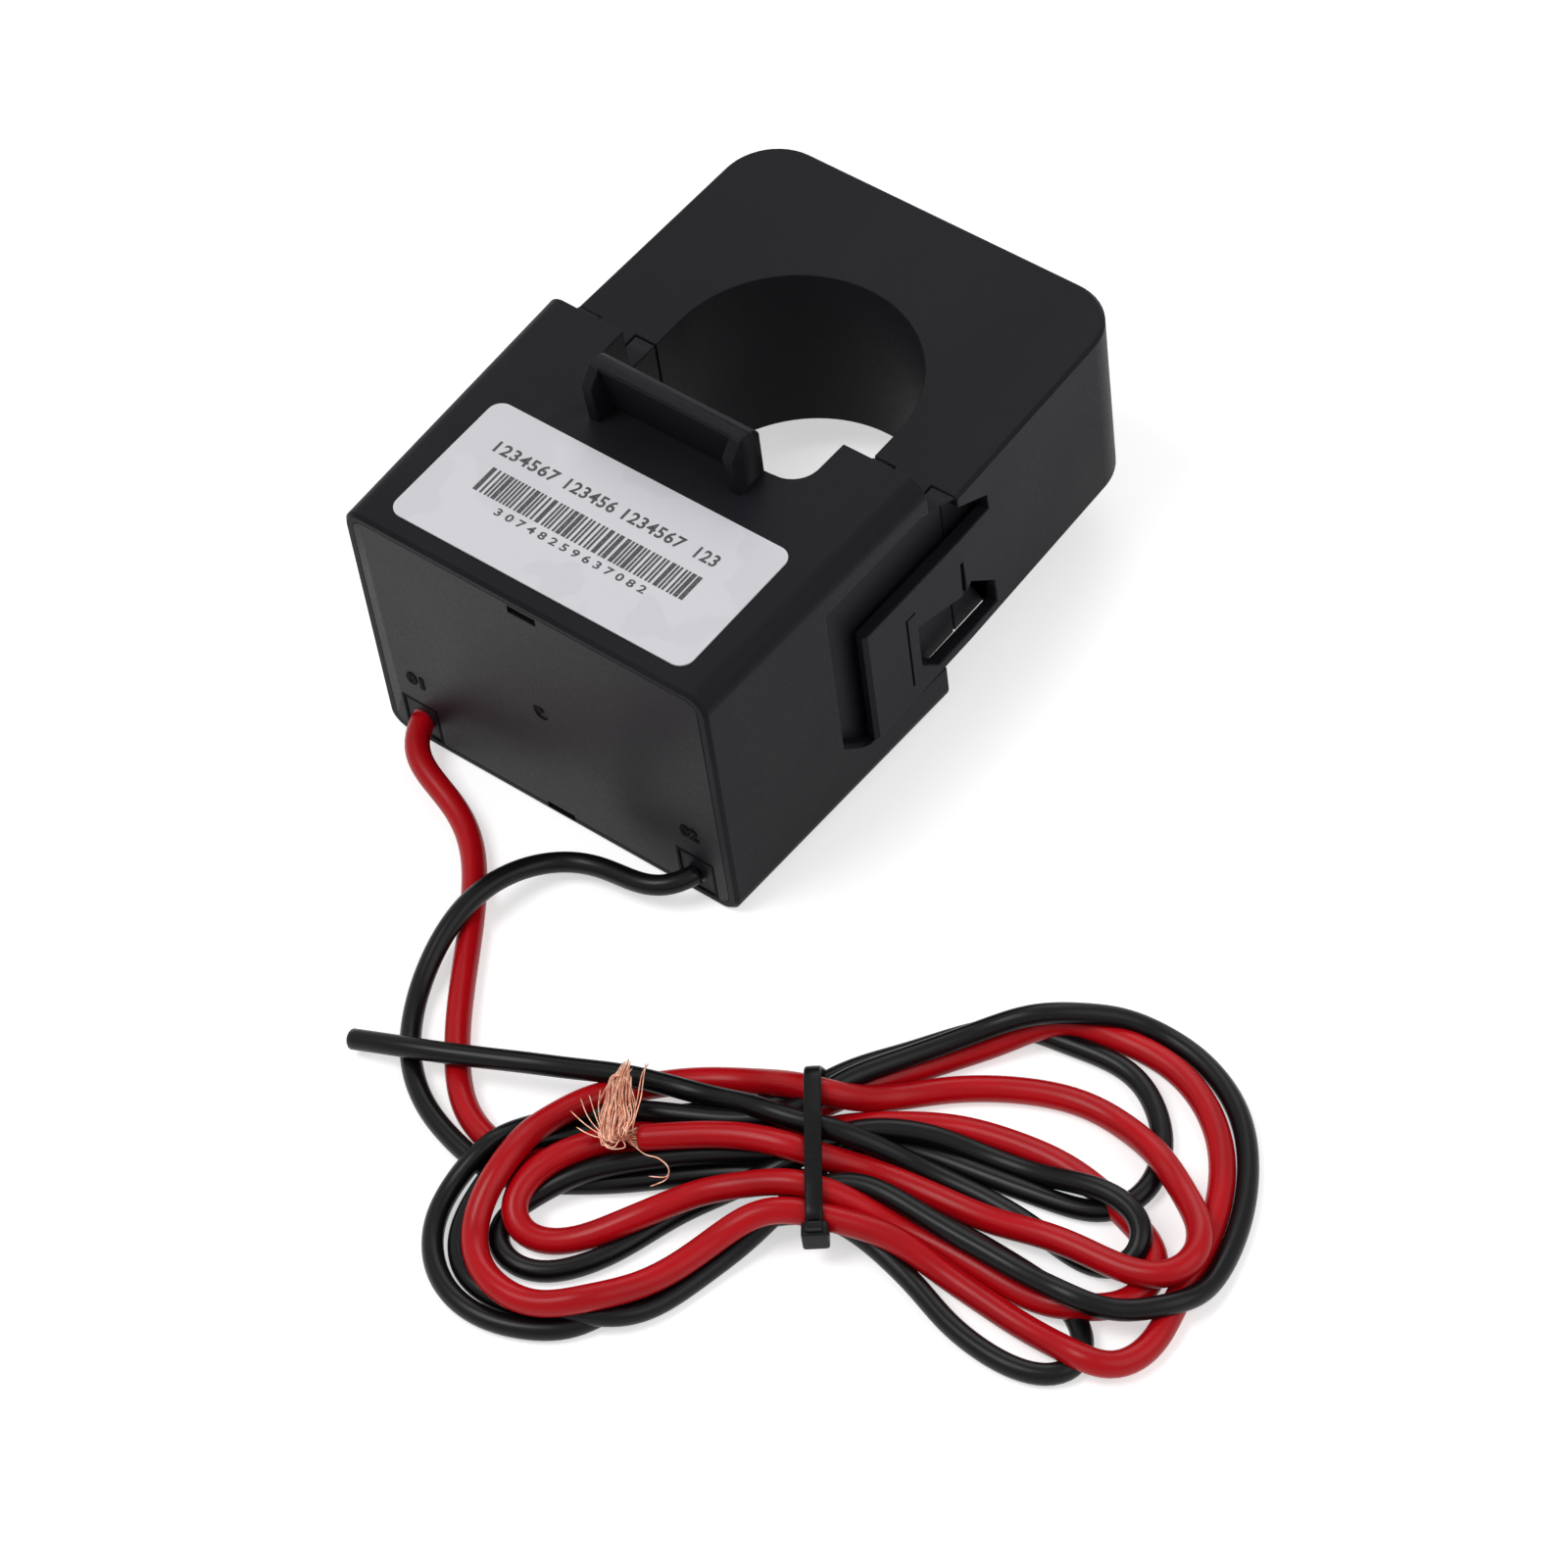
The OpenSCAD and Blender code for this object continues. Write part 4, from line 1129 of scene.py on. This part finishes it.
def background_seen(tree: bpy.types.NodeTree) -> Socket:
    """Give 1 for the rays that are shown the background: camera, glossy and transmission ones."""
    rays = tree.nodes.new("ShaderNodeLightPath")
    seen = rays.outputs["Is Camera Ray"]
    for kind in ("Is Glossy Ray", "Is Transmission Ray"):
        more = tree.nodes.new("ShaderNodeMath")
        more.operation = "MAXIMUM"
        tree.links.new(seen, more.inputs[0])
        tree.links.new(rays.outputs[kind], more.inputs[1])
        seen = more.outputs[0]
    return seen


@dataclass
class Studio:
    """Camera, pale floor and soft lights."""

    camera_at: Point = (0.3351971, -0.3509281, 0.5340371)
    camera_turn: Point = (38.4566, 5.5808, 37.7212)
    lens: float = 125.057
    floor_half: float = 3.0
    floor_gap: float = 0.00005
    world_level: float = 0.36
    aim: Point = (0.0, -0.03, 0.0)

    def build(self) -> None:
        """Put in the camera, the floor and the lights."""
        self.camera()
        self.floor()
        self.world()
        self.lamp("key", (-0.35, -0.55, 1.25), 0.6, 8.0)
        self.lamp("fill", (0.9, 0.15, 0.8), 0.9, 3.6)
        self.lamp("rim", (-0.5, 0.9, 0.9), 0.8, 4.0)

    def camera(self) -> None:
        """Put in the camera."""
        data = bpy.data.cameras.new("camera")
        data.lens = self.lens
        data.sensor_width = 36.0
        data.clip_start = 0.01
        data.clip_end = 50.0
        camera = put("camera", data)
        camera.location = self.camera_at
        camera.rotation_euler = [math.radians(a) for a in self.camera_turn]
        bpy.context.scene.camera = camera

    def floor(self) -> None:
        """Put in a wide floor that shows white and keeps the shadow of the object."""
        half, low = self.floor_half, TABLE_Z * MM - self.floor_gap
        points = np.array([(-half, -half, low), (half, -half, low), (half, half, low), (-half, half, low)])
        floor = put_mesh("floor", points, [[0, 1, 2, 3]])
        board = Board("white sweep")
        board.main(Base_Color=(0.82, 0.82, 0.82, 1.0), Roughness=0.9, Specular_IOR_Level=0.0)
        glow = board.node("Emission", Color=(1.0, 1.0, 1.0, 1.0), Strength=0.55)
        both = board.node("AddShader")
        board.join(board.shader.outputs[0], both.inputs[0])
        board.join(glow.outputs[0], both.inputs[1])
        pick = board.node("MixShader")
        board.join(background_seen(board.tree), pick.inputs[0])
        board.join(board.shader.outputs[0], pick.inputs[1])
        board.join(both.outputs[0], pick.inputs[2])
        board.join(pick.outputs[0], board.out.inputs[0])
        floor.data.materials.append(board.material)

    def world(self) -> None:
        """Light the scene evenly, and show white to the camera and in reflections."""
        world = bpy.data.worlds.new("studio")
        bpy.context.scene.world = world
        world.use_nodes = True
        tree = world.node_tree
        tree.nodes.clear()
        level = tree.nodes.new("ShaderNodeMapRange")
        level.inputs["To Min"].default_value = self.world_level
        level.inputs["To Max"].default_value = 1.0
        back = tree.nodes.new("ShaderNodeBackground")
        out = tree.nodes.new("ShaderNodeOutputWorld")
        tree.links.new(background_seen(tree), level.inputs[0])
        tree.links.new(level.outputs[0], back.inputs["Strength"])
        tree.links.new(back.outputs[0], out.inputs[0])
        bpy.context.scene.view_settings.view_transform = "Standard"

    def lamp(self, name: str, at: Point, size: float, power: float) -> None:
        """Put in a square soft light that faces the object.

        Args:
            name: name of the light.
            at: its place in metres.
            size: its side in metres.
            power: its power in watts.
        """
        data = bpy.data.lights.new(name, "AREA")
        data.size = size
        data.energy = power
        lamp = put(name, data)
        lamp.location = at
        way = np.array(self.aim) - np.array(at)
        lamp.rotation_euler = (math.acos(-way[2] / np.linalg.norm(way)), 0.0,
                               math.atan2(way[1], way[0]) - math.pi / 2)


def main() -> None:
    """Build every piece in order; the shells and the tie log a count."""
    logging.basicConfig(level=logging.INFO, format="%(name)s: %(message)s")
    Studio().build()
    hank = TiedHank()
    hank.lay()
    table = {key: finish.build() for key, finish in FINISHES.items()}
    for shell in SHELLS:
        shell.build(table[shell.slot])
    end = hank.laid[Side.RED][-1] / MM
    way = end - hank.laid[Side.RED][-4] / MM
    strands = CopperStrands(end, way / np.linalg.norm(way)).build(table["copper"])
    for side in Side:
        lead = Lead(side, hank.laid[side], hank.sizes[side])
        lead.build(table[f"{side.value}_pvc"], [strands] if side is Side.RED else [])
    CableTie(hank).build(table["tie_nylon"])
    LabelPrint().build(table["ink"])
    OutletMarks().build(table["mark"])


if __name__ == "__main__":
    main()
